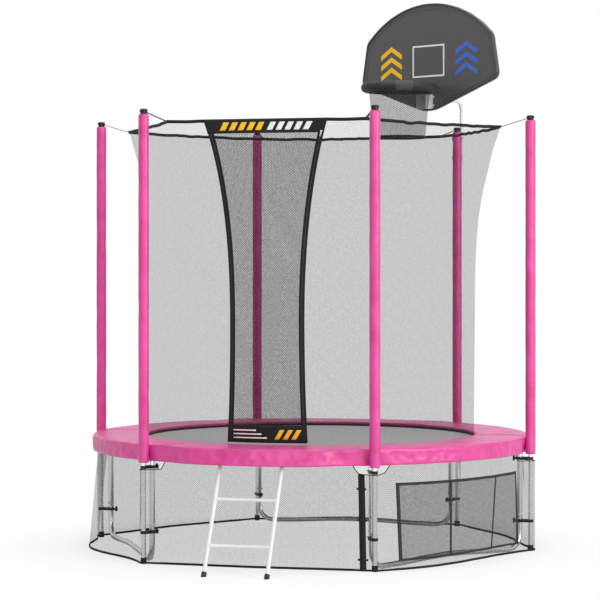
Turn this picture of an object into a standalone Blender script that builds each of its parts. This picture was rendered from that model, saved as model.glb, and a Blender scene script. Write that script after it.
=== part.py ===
"""Round garden trampoline with safety net, ground skirt, ladder and basketball hoop.

Metres, +Z up, standing on z = 0. The doorway and the ladder face -Y.
The work is laid out round the trampoline's own axis and then moved as a whole,
so that the origin lies under the middle of the complete assembly.
"""
import math

import bmesh
import bpy
from mathutils import Matrix, Vector

# Clearances
SEAT_GAP = 0.0003
DOOR_GAP = 0.0009

# Plan: the pole circle leads, and the rings inside and outside it keep their distances from it
POLE_COUNT = 6
POLE_CIRCLE_RADIUS = 1.26
LEG_SETBACK = 0.060
MAT_MARGIN = 0.215
PAD_OVERLAP = 0.051
PAD_OVERHANG = 0.029
NET_SETBACK = 0.060
NET_WALL_SPREAD = 0.007
NET_CORNER_SETBACK = 0.165
SKIRT_WRAP = 0.025
LADDER_STANCE = 0.250
BOARD_SETBACK = 0.260
RIM_SETBACK = 0.255

# Frame ring and its leg sockets
FRAME_TUBE_RADIUS = 0.019
FRAME_HEIGHT = 0.592
SOCKET_RADIUS = 0.0195
SOCKET_BOTTOM = 0.530
SOCKET_BORE_DEPTH = 0.034

# W-shaped legs
LEG_TUBE_RADIUS = 0.016
LEG_BASE_RADIUS = 0.015
LEG_JOINT_HEIGHT = 0.203
LEG_BEND_RADIUS = 0.085
LEG_MIDDLE_RISE = 0.019

# Enclosure poles
POLE_RADIUS = 0.0127
POLE_WALL = 0.0015
POLE_FOOT_RADIUS = 0.0165
POLE_FOOT_HEIGHT = 0.032
POLE_FOOT_FLOOR = 0.006
SLEEVE_RADIUS = 0.0285
SLEEVE_BOTTOM = 0.537
SLEEVE_TOP = 2.386
SLEEVE_EDGE = 0.004
CAP_RADIUS = 0.0225
CAP_NECK_RADIUS = 0.0190
CAP_NECK_HEIGHT = 0.014
CAP_HEIGHT = 0.029
CAP_ROOF = 0.009
STRAP_WIDTH = 0.014
STRAP_THICKNESS = 0.003

# Clamps between legs and poles
UPPER_CLAMP_HEIGHT = 0.512
LOWER_CLAMP_HEIGHT = 0.166
CLAMP_DEPTH = 0.016
CLAMP_WALL = 0.004
KNOB_RADIUS = 0.0165
KNOB_WAIST_RADIUS = 0.0095
KNOB_THICKNESS = 0.010
KNOB_STEM_RADIUS = 0.006
KNOB_STEM_LENGTH = 0.010
KNOB_POINTS = 5

# Jumping mat and springs
MAT_TOP = 0.609
MAT_THICKNESS = 0.003
WEBBING_WIDTH = 0.018
WEBBING_THICKNESS = 0.005
SPRING_COUNT = 48
SPRING_WIDTH = 0.012
SPRING_NECK = 0.005
SPRING_HOOK = 0.022

# Spring pad with its valance
PAD_TOP = 0.637
PAD_EDGE = 0.012
VALANCE_BOTTOM = 0.545
VALANCE_THICKNESS = 0.006
PAD_LADDER_BULGE = 0.046
PAD_LADDER_ROOT_SHARE = 0.5
PAD_LADDER_SPREAD = math.radians(15.5)
PAD_LADDER_FADE = math.radians(7.0)

# Enclosure net and doorway
NET_THICKNESS = 0.002
NET_TOP_HEIGHT = 2.362
NET_FLARE_HEIGHT = 1.40
NET_FLARE_POWER = 1.5
NET_BAND_HEIGHT = 0.017
NET_LEVEL_POWER = 0.8
NET_SILL_HEIGHT = 0.646
DOOR_ANGLE = math.radians(270.0)
DOOR_TOP_HALF_WIDTH = 0.307
DOOR_WAIST_HALF_WIDTH = 0.19
DOOR_BOTTOM_HALF_WIDTH = 0.205
DOOR_WAIST_HEIGHT = 1.27
DOOR_FLARE_POWER = 2.2

# Ground skirt and its pocket panel
SKIRT_THICKNESS = 0.002
SKIRT_DIP_TOP = 0.501
SKIRT_HEM = 0.003
SKIRT_WRAP_SHARE = 0.05
SKIRT_DIP_SHARE = 0.10
SKIRT_BULGES = ((0.06, 0.5), (0.05, 0.5), (0.05, 0.5), (0.14, 0.45), (0.02, 0.5), (0.08, 0.3))
POCKET_SECTOR = 5
POCKET_TOP = 0.452
POCKET_BOTTOM = 0.050
POCKET_THICKNESS = 0.002
POCKET_STAND_OFF = 0.0030

# Ladder
LADDER_SPACING = 0.334
LADDER_TUBE_RADIUS = 0.011
LADDER_RUNG_RADIUS = 0.0095
LADDER_RUNG_HEIGHTS = (0.150, 0.376)
RAIL_TOP_DROP = 0.046
RAIL_TOP_OFFSET = 0.028
HOOK_CLEARANCE = 0.0024
HOOK_WALL = 0.005
HOOK_WIDTH = 0.008
HOOK_START = math.radians(-65.0)
HOOK_END = math.radians(190.0)
LADDER_FOOT_RADIUS = 0.0145
LADDER_FOOT_LENGTH = 0.024
LADDER_FOOT_FLOOR = 0.010

# Basketball set
HOOP_POLE = 1
BOARD_DEPTH = 0.022
BOARD_SKIN = 0.006
BOARD_LIP = 0.010
BOARD_BOTTOM = 2.510
BOARD_TOP = 3.146
BOARD_HALF_WIDTH = 0.545
BOARD_SHOULDER_HALF_WIDTH = 0.500
BOARD_CORNER_HEIGHT = 2.679
BOARD_SHOULDER_HEIGHT = 2.935
BOARD_POINT_DROP = 0.020
BOARD_POINT_ROUND = 0.260
BOARD_CORNER_ROUND = 0.050
BOARD_SHOULDER_ROUND = 0.070
RIM_HEIGHT = 2.630
RIM_RADIUS = 0.1995
RIM_FOAM_RADIUS = 0.030
HOOP_NET_BOTTOM = 2.330
HOOP_NET_BOTTOM_RADIUS = 0.150
HOOP_NET_TAPER = 0.8
BRACKET_WIDTH = 0.075
BRACKET_DROP = 0.085
BRACKET_WALL = 0.003
ARM_RADIUS = 0.011
ARM_BOTTOM = 2.185
ARM_TOP = 2.575
ARM_BEND = 0.050
ARM_PLATE_WIDTH = 0.120
ARM_PLATE_HEIGHT = 0.100
ARM_PLATE_THICKNESS = 0.004
ARM_BAND_HEIGHTS = (2.230, 2.345)
ARM_BAND_DEPTH = 0.022
ARM_BAND_WALL = 0.003

# Facets round each kind of section
TUBE_SIDES = 12
FRAME_SIDES = 10
THIN_TUBE_SIDES = 8
RING_STEPS = 48
SECTOR_STEPS = 8
DOOR_COLUMNS = 6
SIDE_COLUMNS = 3
SECTOR_COLUMNS = 6

# Values worked out from the sizes above
SECTOR = 2.0 * math.pi / POLE_COUNT
FRAME_RADIUS = POLE_CIRCLE_RADIUS - LEG_SETBACK
MAT_RADIUS = FRAME_RADIUS - MAT_MARGIN
PAD_INNER_RADIUS = MAT_RADIUS - PAD_OVERLAP
PAD_OUTER_RADIUS = FRAME_RADIUS + PAD_OVERHANG
NET_BOTTOM_RADIUS = MAT_RADIUS - NET_SETBACK
NET_WALL_RADIUS = NET_BOTTOM_RADIUS + NET_WALL_SPREAD
NET_CORNER_RADIUS = POLE_CIRCLE_RADIUS - NET_CORNER_SETBACK
SKIRT_WRAP_RADIUS = POLE_CIRCLE_RADIUS + SKIRT_WRAP
LADDER_FOOT_REACH = POLE_CIRCLE_RADIUS + LADDER_STANCE
BOARD_DISTANCE = POLE_CIRCLE_RADIUS - BOARD_SETBACK
RIM_DISTANCE = BOARD_DISTANCE - RIM_SETBACK
POLE_BORE = POLE_RADIUS + SEAT_GAP
FRAME_TOP = FRAME_HEIGHT + FRAME_TUBE_RADIUS
FRAME_BOTTOM = FRAME_HEIGHT - FRAME_TUBE_RADIUS
PAD_BOTTOM = FRAME_TOP + SEAT_GAP
CAP_BOTTOM = SLEEVE_TOP + SEAT_GAP
POLE_TOP = CAP_BOTTOM + CAP_HEIGHT - CAP_ROOF - SEAT_GAP
LADDER_HINGE_RADIUS = math.sqrt(FRAME_RADIUS ** 2 - (LADDER_SPACING / 2) ** 2)
HOOK_INNER = FRAME_TUBE_RADIUS + HOOK_CLEARANCE
HOOK_OUTER = HOOK_INNER + HOOK_WALL
HOOK_RISE = HOOK_OUTER - FRAME_TUBE_RADIUS
DOOR_BOTTOM = NET_SILL_HEIGHT + DOOR_GAP
DOOR_TOP = NET_TOP_HEIGHT - NET_BAND_HEIGHT - DOOR_GAP
ARM_DISTANCE = POLE_CIRCLE_RADIUS + SLEEVE_RADIUS + SEAT_GAP + ARM_RADIUS


# Small helpers


def clear_scene():
    for obj in list(bpy.data.objects):
        bpy.data.objects.remove(obj)


def smooth_step(share):
    share = min(max(share, 0.0), 1.0)
    return share * share * (3.0 - 2.0 * share)


def mix(a, b, share):
    return a + (b - a) * share


def polar(radius, angle, height=0.0):
    return Vector((radius * math.cos(angle), radius * math.sin(angle), height))


def principled(name, colour, roughness, metallic=0.0):
    material = bpy.data.materials.new(name)
    material.use_nodes = True
    shader = material.node_tree.nodes["Principled BSDF"]
    shader.inputs["Base Color"].default_value = (*colour, 1.0)
    shader.inputs["Roughness"].default_value = roughness
    shader.inputs["Metallic"].default_value = metallic
    return material


def empty(name, parent=None, location=(0.0, 0.0, 0.0), turn=0.0):
    obj = bpy.data.objects.new(name, None)
    bpy.context.scene.collection.objects.link(obj)
    obj.parent = parent
    obj.location = location
    obj.rotation_euler.z = turn
    return obj


def to_mesh(name, bm):
    """Close a modelling mesh: faces point out and round stretches are shaded smooth."""
    bmesh.ops.recalc_face_normals(bm, faces=bm.faces)
    mesh = bpy.data.meshes.new(name)
    bm.to_mesh(mesh)
    bm.free()
    return mesh


def place(name, mesh, material, parent, location=(0.0, 0.0, 0.0), turn=0.0):
    mesh.shade_smooth()
    mesh.set_sharp_from_angle(angle=math.radians(35.0))
    mesh.materials.clear()
    mesh.materials.append(material)
    obj = bpy.data.objects.new(name, mesh)
    bpy.context.scene.collection.objects.link(obj)
    obj.parent = parent
    obj.location = location
    obj.rotation_euler.z = turn
    return obj


def combine(base, tool, operation):
    """Boolean two meshes with the exact solver and give the resulting mesh."""
    holder = bpy.data.objects.new("holder", base)
    cutter = bpy.data.objects.new("cutter", tool)
    for obj in (holder, cutter):
        bpy.context.scene.collection.objects.link(obj)
    modifier = holder.modifiers.new("Combine", "BOOLEAN")
    modifier.operation = operation
    modifier.solver = "EXACT"
    modifier.object = cutter
    graph = bpy.context.evaluated_depsgraph_get()
    result = bpy.data.meshes.new_from_object(holder.evaluated_get(graph))
    for obj in (holder, cutter):
        bpy.data.objects.remove(obj)
    return result


def fuse(first, *others):
    for other in others:
        first = combine(first, other, "UNION")
    return first


def box(low, high):
    bm = bmesh.new()
    bmesh.ops.create_cube(bm, size=1.0)
    size = Vector(high) - Vector(low)
    middle = (Vector(high) + Vector(low)) / 2
    matrix = Matrix.Translation(middle) @ Matrix.Diagonal((*size, 1.0))
    bmesh.ops.transform(bm, matrix=matrix, verts=bm.verts)
    return to_mesh("box", bm)


def lathe(profile, sides, closed=False):
    """Turn (radius, height) pairs round Z. A closed profile makes a ring."""
    bm = bmesh.new()
    rows = []
    for radius, height in profile:
        if radius == 0.0:
            rows.append([bm.verts.new((0.0, 0.0, height))] * sides)
        else:
            turns = [2 * math.pi * i / sides for i in range(sides)]
            rows.append([bm.verts.new(polar(radius, turn, height)) for turn in turns])
    following = rows[1:] + rows[:1] if closed else rows[1:]
    for row, other in zip(rows, following):
        for i in range(sides):
            k = (i + 1) % sides
            corners = list(dict.fromkeys((row[i], row[k], other[k], other[i])))
            if len(corners) > 2:
                bm.faces.new(corners)
    return to_mesh("lathe", bm)


def tube(path, radii, sides, across, end_directions=None):
    """Sweep a round section along a path that lies in the plane square to across."""
    bm = bmesh.new()
    points = [Vector(p) for p in path]
    across = Vector(across).normalized()
    directions = []
    for i in range(len(points)):
        directions.append(points[min(i + 1, len(points) - 1)] - points[max(i - 1, 0)])
    if end_directions:
        directions[0], directions[-1] = end_directions
    rings = []
    for i, point in enumerate(points):
        up = directions[i].cross(across).normalized()
        ring = []
        for k in range(sides):
            angle = 2 * math.pi * k / sides
            side = math.cos(angle) * across + math.sin(angle) * up
            ring.append(bm.verts.new(point + radii[i] * side))
        rings.append(ring)
    for ring, other in zip(rings, rings[1:]):
        for k in range(sides):
            bm.faces.new((ring[k], ring[(k + 1) % sides], other[(k + 1) % sides], other[k]))
    bm.faces.new(rings[0])
    bm.faces.new(rings[-1])
    return to_mesh("tube", bm)


def rod(start, end, radius, sides, across):
    return tube((start, end), (radius, radius), sides, across)


def prism(outline, low, high):
    """Stand a flat (x, y) outline up from low to high."""
    bm = bmesh.new()
    base = bm.faces.new([bm.verts.new((x, y, low)) for x, y in outline])
    top = bmesh.ops.extrude_face_region(bm, geom=[base])["geom"]
    lifted = [v for v in top if isinstance(v, bmesh.types.BMVert)]
    bmesh.ops.translate(bm, verts=lifted, vec=(0.0, 0.0, high - low))
    return to_mesh("prism", bm)


def sheet(rows, thickness, wrap=False, holes=()):
    """Thicken a grid of points to a closed sheet. holes are (row, column) cells left out."""
    bm = bmesh.new()
    grid = [[bm.verts.new(p) for p in row] for row in rows]
    columns = len(grid[0])
    for r in range(len(grid) - 1):
        for c in range(columns if wrap else columns - 1):
            if (r, c) in holes:
                continue
            k = (c + 1) % columns
            bm.faces.new((grid[r][c], grid[r][k], grid[r + 1][k], grid[r + 1][c]))
    bmesh.ops.delete(bm, geom=[v for v in bm.verts if not v.link_faces], context="VERTS")
    mesh = to_mesh("sheet", bm)
    holder = bpy.data.objects.new("sheet", mesh)
    bpy.context.scene.collection.objects.link(holder)
    modifier = holder.modifiers.new("Thickness", "SOLIDIFY")
    modifier.thickness = thickness
    modifier.offset = 0.0
    modifier.use_even_offset = False
    graph = bpy.context.evaluated_depsgraph_get()
    result = bpy.data.meshes.new_from_object(holder.evaluated_get(graph))
    bpy.data.objects.remove(holder)
    return result


def rounded(corners, steps=4):
    """Round each (x, y, radius) corner of an outline with a short curve."""
    outline = []
    count = len(corners)
    for i, (x, y, radius) in enumerate(corners):
        point = Vector((x, y))
        if radius == 0.0:
            outline.append((x, y))
            continue
        to_last = Vector(corners[i - 1][:2]) - point
        to_next = Vector(corners[(i + 1) % count][:2]) - point
        half = to_last.angle(to_next) / 2
        reach = min(radius / math.tan(half), 0.45 * to_last.length, 0.45 * to_next.length)
        first = point + to_last.normalized() * reach
        last = point + to_next.normalized() * reach
        for k in range(steps + 1):
            t = k / steps
            spot = first * (1 - t) ** 2 + point * 2 * t * (1 - t) + last * t ** 2
            outline.append((spot.x, spot.y))
    return outline


# Frame, legs and poles


def build_frame(root, steel):
    """Six curved tubes make the ring; each carries the socket of one leg."""
    half = SECTOR / 2 - SEAT_GAP / FRAME_RADIUS
    angles = [mix(-half, half, i / SECTOR_STEPS) for i in range(SECTOR_STEPS + 1)]
    arc = [polar(FRAME_RADIUS, a) for a in angles]
    ends = [polar(1.0, a + math.pi / 2) for a in (-half, half)]
    ring = tube(arc, [FRAME_TUBE_RADIUS] * len(arc), FRAME_SIDES, (0.0, 0.0, 1.0), ends)
    leg_line = Vector((FRAME_RADIUS, 0.0, 0.0))
    socket = rod(leg_line, leg_line + Vector((0, 0, SOCKET_BOTTOM - FRAME_HEIGHT)), SOCKET_RADIUS,
                 TUBE_SIDES, (1.0, 0.0, 0.0))
    mouth = SOCKET_BOTTOM - FRAME_HEIGHT
    bore = rod(leg_line + Vector((0, 0, mouth - SOCKET_BORE_DEPTH)),
               leg_line + Vector((0, 0, mouth + SOCKET_BORE_DEPTH)), LEG_TUBE_RADIUS + SEAT_GAP,
               TUBE_SIDES, (1.0, 0.0, 0.0))
    mesh = combine(fuse(ring, socket), bore, "DIFFERENCE")
    for k in range(POLE_COUNT):
        place(f"frame_segment_{k + 1}", mesh, steel, root, (0.0, 0.0, FRAME_HEIGHT), k * SECTOR)


def leg_path():
    """Centre line of a W leg along its chord, as (along, height, radius)."""
    half = FRAME_RADIUS * math.sin(SECTOR / 2)
    floor = LEG_BASE_RADIUS
    turn = floor + LEG_BEND_RADIUS
    steps = 4
    path = [(-half, SOCKET_BOTTOM + SOCKET_BORE_DEPTH - SEAT_GAP, LEG_TUBE_RADIUS),
            (-half, LEG_JOINT_HEIGHT, LEG_TUBE_RADIUS),
            (-half, LEG_JOINT_HEIGHT - LEG_TUBE_RADIUS + LEG_BASE_RADIUS, LEG_BASE_RADIUS)]
    for k in range(steps + 1):
        angle = math.pi / 2 * k / steps
        along = -half + LEG_BEND_RADIUS * (1 - math.cos(angle))
        path.append((along, turn - LEG_BEND_RADIUS * math.sin(angle), LEG_BASE_RADIUS))
    flat_end = -half + LEG_BEND_RADIUS
    for k in range(1, 4):
        share = k / 3
        height = floor + LEG_MIDDLE_RISE * smooth_step(share)
        path.append((mix(flat_end, 0.0, share), height, LEG_BASE_RADIUS))
    mirrored = [(-along, height, radius) for along, height, radius in reversed(path[:-1])]
    return path + mirrored


def build_legs(root, steel):
    """Each W leg joins two neighbouring legs along the chord between them."""
    chord_distance = FRAME_RADIUS * math.cos(SECTOR / 2)
    path = leg_path()
    points = [(chord_distance, along, height) for along, height, _ in path]
    mesh = tube(points, [radius for _, _, radius in path], TUBE_SIDES, (1.0, 0.0, 0.0))
    for k in range(POLE_COUNT // 2):
        place(f"w_leg_{k + 1}", mesh, steel, root, turn=(2 * k + 1.5) * SECTOR)


def build_poles(root, steel, foam, black):
    pole_low = POLE_FOOT_FLOOR + SEAT_GAP
    wall = POLE_RADIUS - POLE_WALL
    pole = lathe([(POLE_RADIUS, pole_low), (POLE_RADIUS, POLE_TOP), (wall, POLE_TOP), (wall, pole_low)],
                 TUBE_SIDES, closed=True)
    edge = SLEEVE_RADIUS - SLEEVE_EDGE
    sleeve = lathe([(POLE_BORE, SLEEVE_BOTTOM), (edge, SLEEVE_BOTTOM),
                    (SLEEVE_RADIUS, SLEEVE_BOTTOM + SLEEVE_EDGE), (SLEEVE_RADIUS, SLEEVE_TOP - SLEEVE_EDGE),
                    (edge, SLEEVE_TOP), (POLE_BORE, SLEEVE_TOP)], TUBE_SIDES, closed=True)
    foot = lathe([(0.0, 0.0), (POLE_FOOT_RADIUS, 0.0), (POLE_FOOT_RADIUS, POLE_FOOT_HEIGHT),
                  (POLE_BORE, POLE_FOOT_HEIGHT), (POLE_BORE, POLE_FOOT_FLOOR), (0.0, POLE_FOOT_FLOOR)],
                 TUBE_SIDES)
    cap = fuse(cap_body(), cap_strap())
    for k in range(POLE_COUNT):
        spot = polar(POLE_CIRCLE_RADIUS, k * SECTOR)
        turn = k * SECTOR
        place(f"pole_{k + 1}", pole, steel, root, spot, turn)
        place(f"pole_sleeve_{k + 1}", sleeve, foam, root, spot, turn)
        place(f"pole_foot_{k + 1}", foot, black, root, spot, turn)
        place(f"pole_cap_{k + 1}", cap, black, root, spot, turn)


def cap_body():
    top = CAP_BOTTOM + CAP_HEIGHT
    roof = top - CAP_ROOF
    neck = CAP_BOTTOM + CAP_NECK_HEIGHT
    return lathe([(0.0, roof), (POLE_BORE, roof), (POLE_BORE, CAP_BOTTOM), (CAP_NECK_RADIUS, CAP_BOTTOM),
                  (CAP_NECK_RADIUS, neck), (CAP_RADIUS, neck), (CAP_RADIUS, roof),
                  (CAP_RADIUS * 0.86, top - CAP_ROOF * 0.3), (CAP_RADIUS * 0.5, top), (0.0, top)], TUBE_SIDES)


def cap_strap():
    """Webbing strap that runs in and down from the cap to the corner of the net."""
    low = NET_TOP_HEIGHT - NET_BAND_HEIGHT * 0.5
    high = CAP_BOTTOM + CAP_HEIGHT * 0.4
    inner = net_radius(0.0, low) + NET_THICKNESS / 2 + 2 * SEAT_GAP - POLE_CIRCLE_RADIUS
    outer = -(POLE_BORE + CAP_NECK_RADIUS) / 2
    bm = bmesh.new()
    half = STRAP_THICKNESS / 2
    side = [(inner, low - half), (outer, high - half), (outer, high + half), (inner, low + half)]
    face = bm.faces.new([bm.verts.new((x, -STRAP_WIDTH / 2, z)) for x, z in side])
    made = bmesh.ops.extrude_face_region(bm, geom=[face])["geom"]
    bmesh.ops.translate(bm, verts=[v for v in made if isinstance(v, bmesh.types.BMVert)],
                        vec=(0.0, STRAP_WIDTH, 0.0))
    return to_mesh("strap", bm)


def clamp_mesh(leg_radius):
    """Plastic clamp round a leg tube and a pole, with the star knob on its inner end."""
    leg_x = FRAME_RADIUS - POLE_CIRCLE_RADIUS
    leg_bore = leg_radius + SEAT_GAP
    bm = bmesh.new()
    for x, radius in ((leg_x, leg_bore + CLAMP_WALL), (0.0, POLE_BORE + CLAMP_WALL)):
        for k in range(TUBE_SIDES):
            spot = polar(radius, 2 * math.pi * k / TUBE_SIDES)
            for z in (-CLAMP_DEPTH / 2, CLAMP_DEPTH / 2):
                bm.verts.new((x + spot.x, spot.y, z))
    hull = bmesh.ops.convex_hull(bm, input=bm.verts)
    bmesh.ops.delete(bm, geom=list({*hull["geom_interior"], *hull["geom_unused"]}), context="VERTS")
    bmesh.ops.dissolve_limit(bm, angle_limit=math.radians(1.0), verts=bm.verts, edges=bm.edges)
    body = to_mesh("clamp", bm)
    for x, radius in ((leg_x, leg_bore), (0.0, POLE_BORE)):
        hole = rod((x, 0.0, -CLAMP_DEPTH), (x, 0.0, CLAMP_DEPTH), radius, TUBE_SIDES, (1.0, 0.0, 0.0))
        body = combine(body, hole, "DIFFERENCE")
    star = []
    for k in range(2 * KNOB_POINTS):
        spot = polar(KNOB_WAIST_RADIUS if k % 2 else KNOB_RADIUS, math.pi * k / KNOB_POINTS)
        star.append((spot.x, spot.y))
    knob = prism(star, 0.0, KNOB_THICKNESS)
    seat = leg_x - leg_bore - CLAMP_WALL * 0.4
    stem_end = seat - KNOB_STEM_LENGTH
    stem = rod((seat, 0.0, 0.0), (stem_end - KNOB_THICKNESS / 2, 0.0, 0.0), KNOB_STEM_RADIUS, THIN_TUBE_SIDES,
               (0.0, 0.0, 1.0))
    knob.transform(Matrix.Translation((stem_end, 0.0, 0.0)) @ Matrix.Rotation(-math.pi / 2, 4, "Y"))
    return fuse(body, stem, knob)


def build_clamps(root, black):
    kinds = (
        ("upper_clamp", UPPER_CLAMP_HEIGHT, LEG_TUBE_RADIUS),
        ("lower_clamp", LOWER_CLAMP_HEIGHT, LEG_BASE_RADIUS),
    )
    for name, height, leg_radius in kinds:
        mesh = clamp_mesh(leg_radius)
        for k in range(POLE_COUNT):
            spot = polar(POLE_CIRCLE_RADIUS, k * SECTOR, height)
            place(f"{name}_{k + 1}", mesh, black, root, spot, k * SECTOR)


# Mat, springs and pad


def build_mat(root, weave, steel):
    low = MAT_TOP - MAT_THICKNESS
    mat = lathe([(0.0, low), (MAT_RADIUS, low), (MAT_RADIUS, MAT_TOP), (0.0, MAT_TOP)], RING_STEPS)
    place("mat", mat, weave, root)
    place("springs", spring_ring(), steel, root)


def spring_ring():
    """Webbing hoop round the mat with one spring drawn out of it at every step."""
    steps = 2 * SPRING_COUNT
    inner = (MAT_RADIUS + SEAT_GAP) / math.cos(math.pi / steps)
    outer = inner + WEBBING_WIDTH
    frame_inside = FRAME_RADIUS - FRAME_TUBE_RADIUS * math.cos(math.pi / FRAME_SIDES)
    hook_end = frame_inside * math.cos(SECTOR / SECTOR_STEPS / 2) - SEAT_GAP
    middle = MAT_TOP - WEBBING_THICKNESS / 2
    bm = bmesh.new()
    section = [(inner, -1), (outer, -1), (outer, 1), (inner, 1)]
    rows = []
    for i in range(steps):
        angle = math.pi * (2 * i + 1) / steps
        spots = [polar(r, angle, middle + side * WEBBING_THICKNESS / 2) for r, side in section]
        rows.append([bm.verts.new(spot) for spot in spots])
    seats = []
    for i in range(steps):
        row, other = rows[i], rows[(i + 1) % steps]
        for k in range(4):
            face = bm.faces.new((row[k], row[(k + 1) % 4], other[(k + 1) % 4], other[k]))
            if k == 1 and i % 2 == 0:
                seats.append((face, math.pi * 2 * (i + 1) / steps))
    stations = ((outer, SPRING_NECK), (hook_end - SPRING_HOOK, SPRING_WIDTH), (hook_end, SPRING_NECK))
    for face, angle in seats:
        draw_spring(bm, face, angle, stations, middle)
    return to_mesh("springs", bm)


def draw_spring(bm, face, angle, stations, start_height):
    """Inset the webbing face and draw it out through the spring's stations."""
    bmesh.ops.inset_individual(bm, faces=[face], thickness=WEBBING_THICKNESS * 0.2)
    for step, (radius, width) in enumerate(stations):
        if step:
            face = bmesh.ops.extrude_discrete_faces(bm, faces=[face])["faces"][0]
        share = step / (len(stations) - 1)
        centre = polar(radius, angle, mix(start_height, FRAME_HEIGHT, share))
        tangent = Vector((-math.sin(angle), math.cos(angle), 0.0))
        half = width / 2 if step else WEBBING_THICKNESS * 0.25
        old_middle = face.calc_center_median()
        for vert in face.verts:
            offset = vert.co - old_middle
            across = math.copysign(half, offset.dot(tangent))
            vert.co = centre + tangent * across + Vector((0.0, 0.0, math.copysign(half, offset.z)))


def ladder_share(angle):
    """1 over the ladder, fading to 0 beside it."""
    away = abs((angle - DOOR_ANGLE + math.pi) % (2 * math.pi) - math.pi)
    return 1.0 - smooth_step((away - PAD_LADDER_SPREAD) / PAD_LADDER_FADE)


def build_pad(root, vinyl):
    """Padded ring over the springs. Its valance stands off where the ladder passes under it."""
    inner_wall = PAD_OUTER_RADIUS - VALANCE_THICKNESS
    width = PAD_OUTER_RADIUS - PAD_INNER_RADIUS
    rows = []
    for i in range(RING_STEPS):
        angle = 2 * math.pi * i / RING_STEPS
        share = ladder_share(angle)
        lift = HOOK_RISE * share
        out = PAD_LADDER_BULGE * share
        root_out = out * PAD_LADDER_ROOT_SHARE
        profile = [
            (PAD_INNER_RADIUS + PAD_EDGE * 0.3, PAD_BOTTOM),
            (FRAME_RADIUS - 3 * FRAME_TUBE_RADIUS, PAD_BOTTOM + lift),
            (inner_wall + root_out, PAD_BOTTOM + lift),
            (inner_wall + out, VALANCE_BOTTOM),
            (PAD_OUTER_RADIUS + out, VALANCE_BOTTOM),
            (PAD_OUTER_RADIUS + root_out, PAD_TOP - 2 * PAD_EDGE),
            (PAD_OUTER_RADIUS + root_out - PAD_EDGE * 0.6, PAD_TOP - PAD_EDGE * 0.4),
            (PAD_OUTER_RADIUS - width * 0.25, PAD_TOP + lift * 0.5),
            (PAD_OUTER_RADIUS - width * 0.75, PAD_TOP),
            (PAD_INNER_RADIUS + PAD_EDGE, PAD_TOP - PAD_EDGE * 0.5),
            (PAD_INNER_RADIUS, (PAD_TOP + PAD_BOTTOM) / 2),
        ]
        rows.append([polar(r, angle, z) for r, z in profile])
    bm = bmesh.new()
    grid = [[bm.verts.new(p) for p in row] for row in rows]
    count = len(grid[0])
    for i in range(RING_STEPS):
        row, other = grid[i], grid[(i + 1) % RING_STEPS]
        for k in range(count):
            bm.faces.new((row[k], row[(k + 1) % count], other[(k + 1) % count], other[k]))
    place("pad", to_mesh("pad", bm), vinyl, root)


# Enclosure net and doorway


def net_radius(angle, height):
    """Distance from the axis to the net: a round wall that flares to a straight-sided top."""
    rise = min(max((height - MAT_TOP) / (NET_FLARE_HEIGHT - MAT_TOP), 0.0), 1.0)
    wall = mix(NET_BOTTOM_RADIUS, NET_WALL_RADIUS, rise)
    from_side = angle % SECTOR - SECTOR / 2
    straight = NET_CORNER_RADIUS * math.cos(SECTOR / 2) / math.cos(from_side)
    flare = max((height - NET_FLARE_HEIGHT) / (NET_TOP_HEIGHT - NET_FLARE_HEIGHT), 0.0) ** NET_FLARE_POWER
    return mix(wall, straight, flare)


def door_half_width(height):
    if height < DOOR_WAIST_HEIGHT:
        share = (DOOR_WAIST_HEIGHT - height) / (DOOR_WAIST_HEIGHT - DOOR_BOTTOM)
        return mix(DOOR_WAIST_HALF_WIDTH, DOOR_BOTTOM_HALF_WIDTH, min(share, 1.0) ** 2)
    share = (height - DOOR_WAIST_HEIGHT) / (NET_TOP_HEIGHT - DOOR_WAIST_HEIGHT)
    return mix(DOOR_WAIST_HALF_WIDTH, DOOR_TOP_HALF_WIDTH, share ** DOOR_FLARE_POWER)


def door_half_angle(height, inset=0.0):
    reach = net_radius(DOOR_ANGLE, height)
    return math.asin((door_half_width(height) - inset) / reach)


def net_heights(low, high):
    """Levels up the net, closer together where it flares; only the end ones are moved by low and high."""
    band = NET_TOP_HEIGHT - NET_BAND_HEIGHT
    levels = [mix(NET_SILL_HEIGHT, NET_FLARE_HEIGHT, k / 3) for k in range(3)]
    levels += [mix(NET_FLARE_HEIGHT, band, (k / 6) ** NET_LEVEL_POWER) for k in range(7)]
    return [low] + levels[1:-1] + [high]


def net_point(angle, height):
    return polar(net_radius(angle, height), angle, height)


def net_row(height):
    """Points round the net at one level; the first columns cross the doorway."""
    half = door_half_angle(height)
    angles = [DOOR_ANGLE + mix(-half, half, k / DOOR_COLUMNS) for k in range(DOOR_COLUMNS)]
    anchors = [DOOR_ANGLE + half]
    anchors += [DOOR_ANGLE + SECTOR * (k + 0.5) for k in range(POLE_COUNT)]
    anchors += [DOOR_ANGLE + 2 * math.pi - half]
    for k, (start, end) in enumerate(zip(anchors, anchors[1:])):
        count = SIDE_COLUMNS if k in (0, POLE_COUNT) else SECTOR_COLUMNS
        angles += [mix(start, end, i / count) for i in range(count)]
    return [net_point(a, height) for a in angles]


def build_net(root, netting):
    """Net wall with a sill under the doorway and a band across the top of it."""
    top_band = NET_TOP_HEIGHT - NET_BAND_HEIGHT
    levels = [MAT_TOP + SEAT_GAP] + net_heights(NET_SILL_HEIGHT, top_band) + [NET_TOP_HEIGHT]
    rows = [net_row(z) for z in levels]
    doorway = {(r, c) for r in range(1, len(levels) - 2) for c in range(DOOR_COLUMNS)}
    place("enclosure_net", sheet(rows, NET_THICKNESS, wrap=True, holes=doorway), netting, root)


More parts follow.
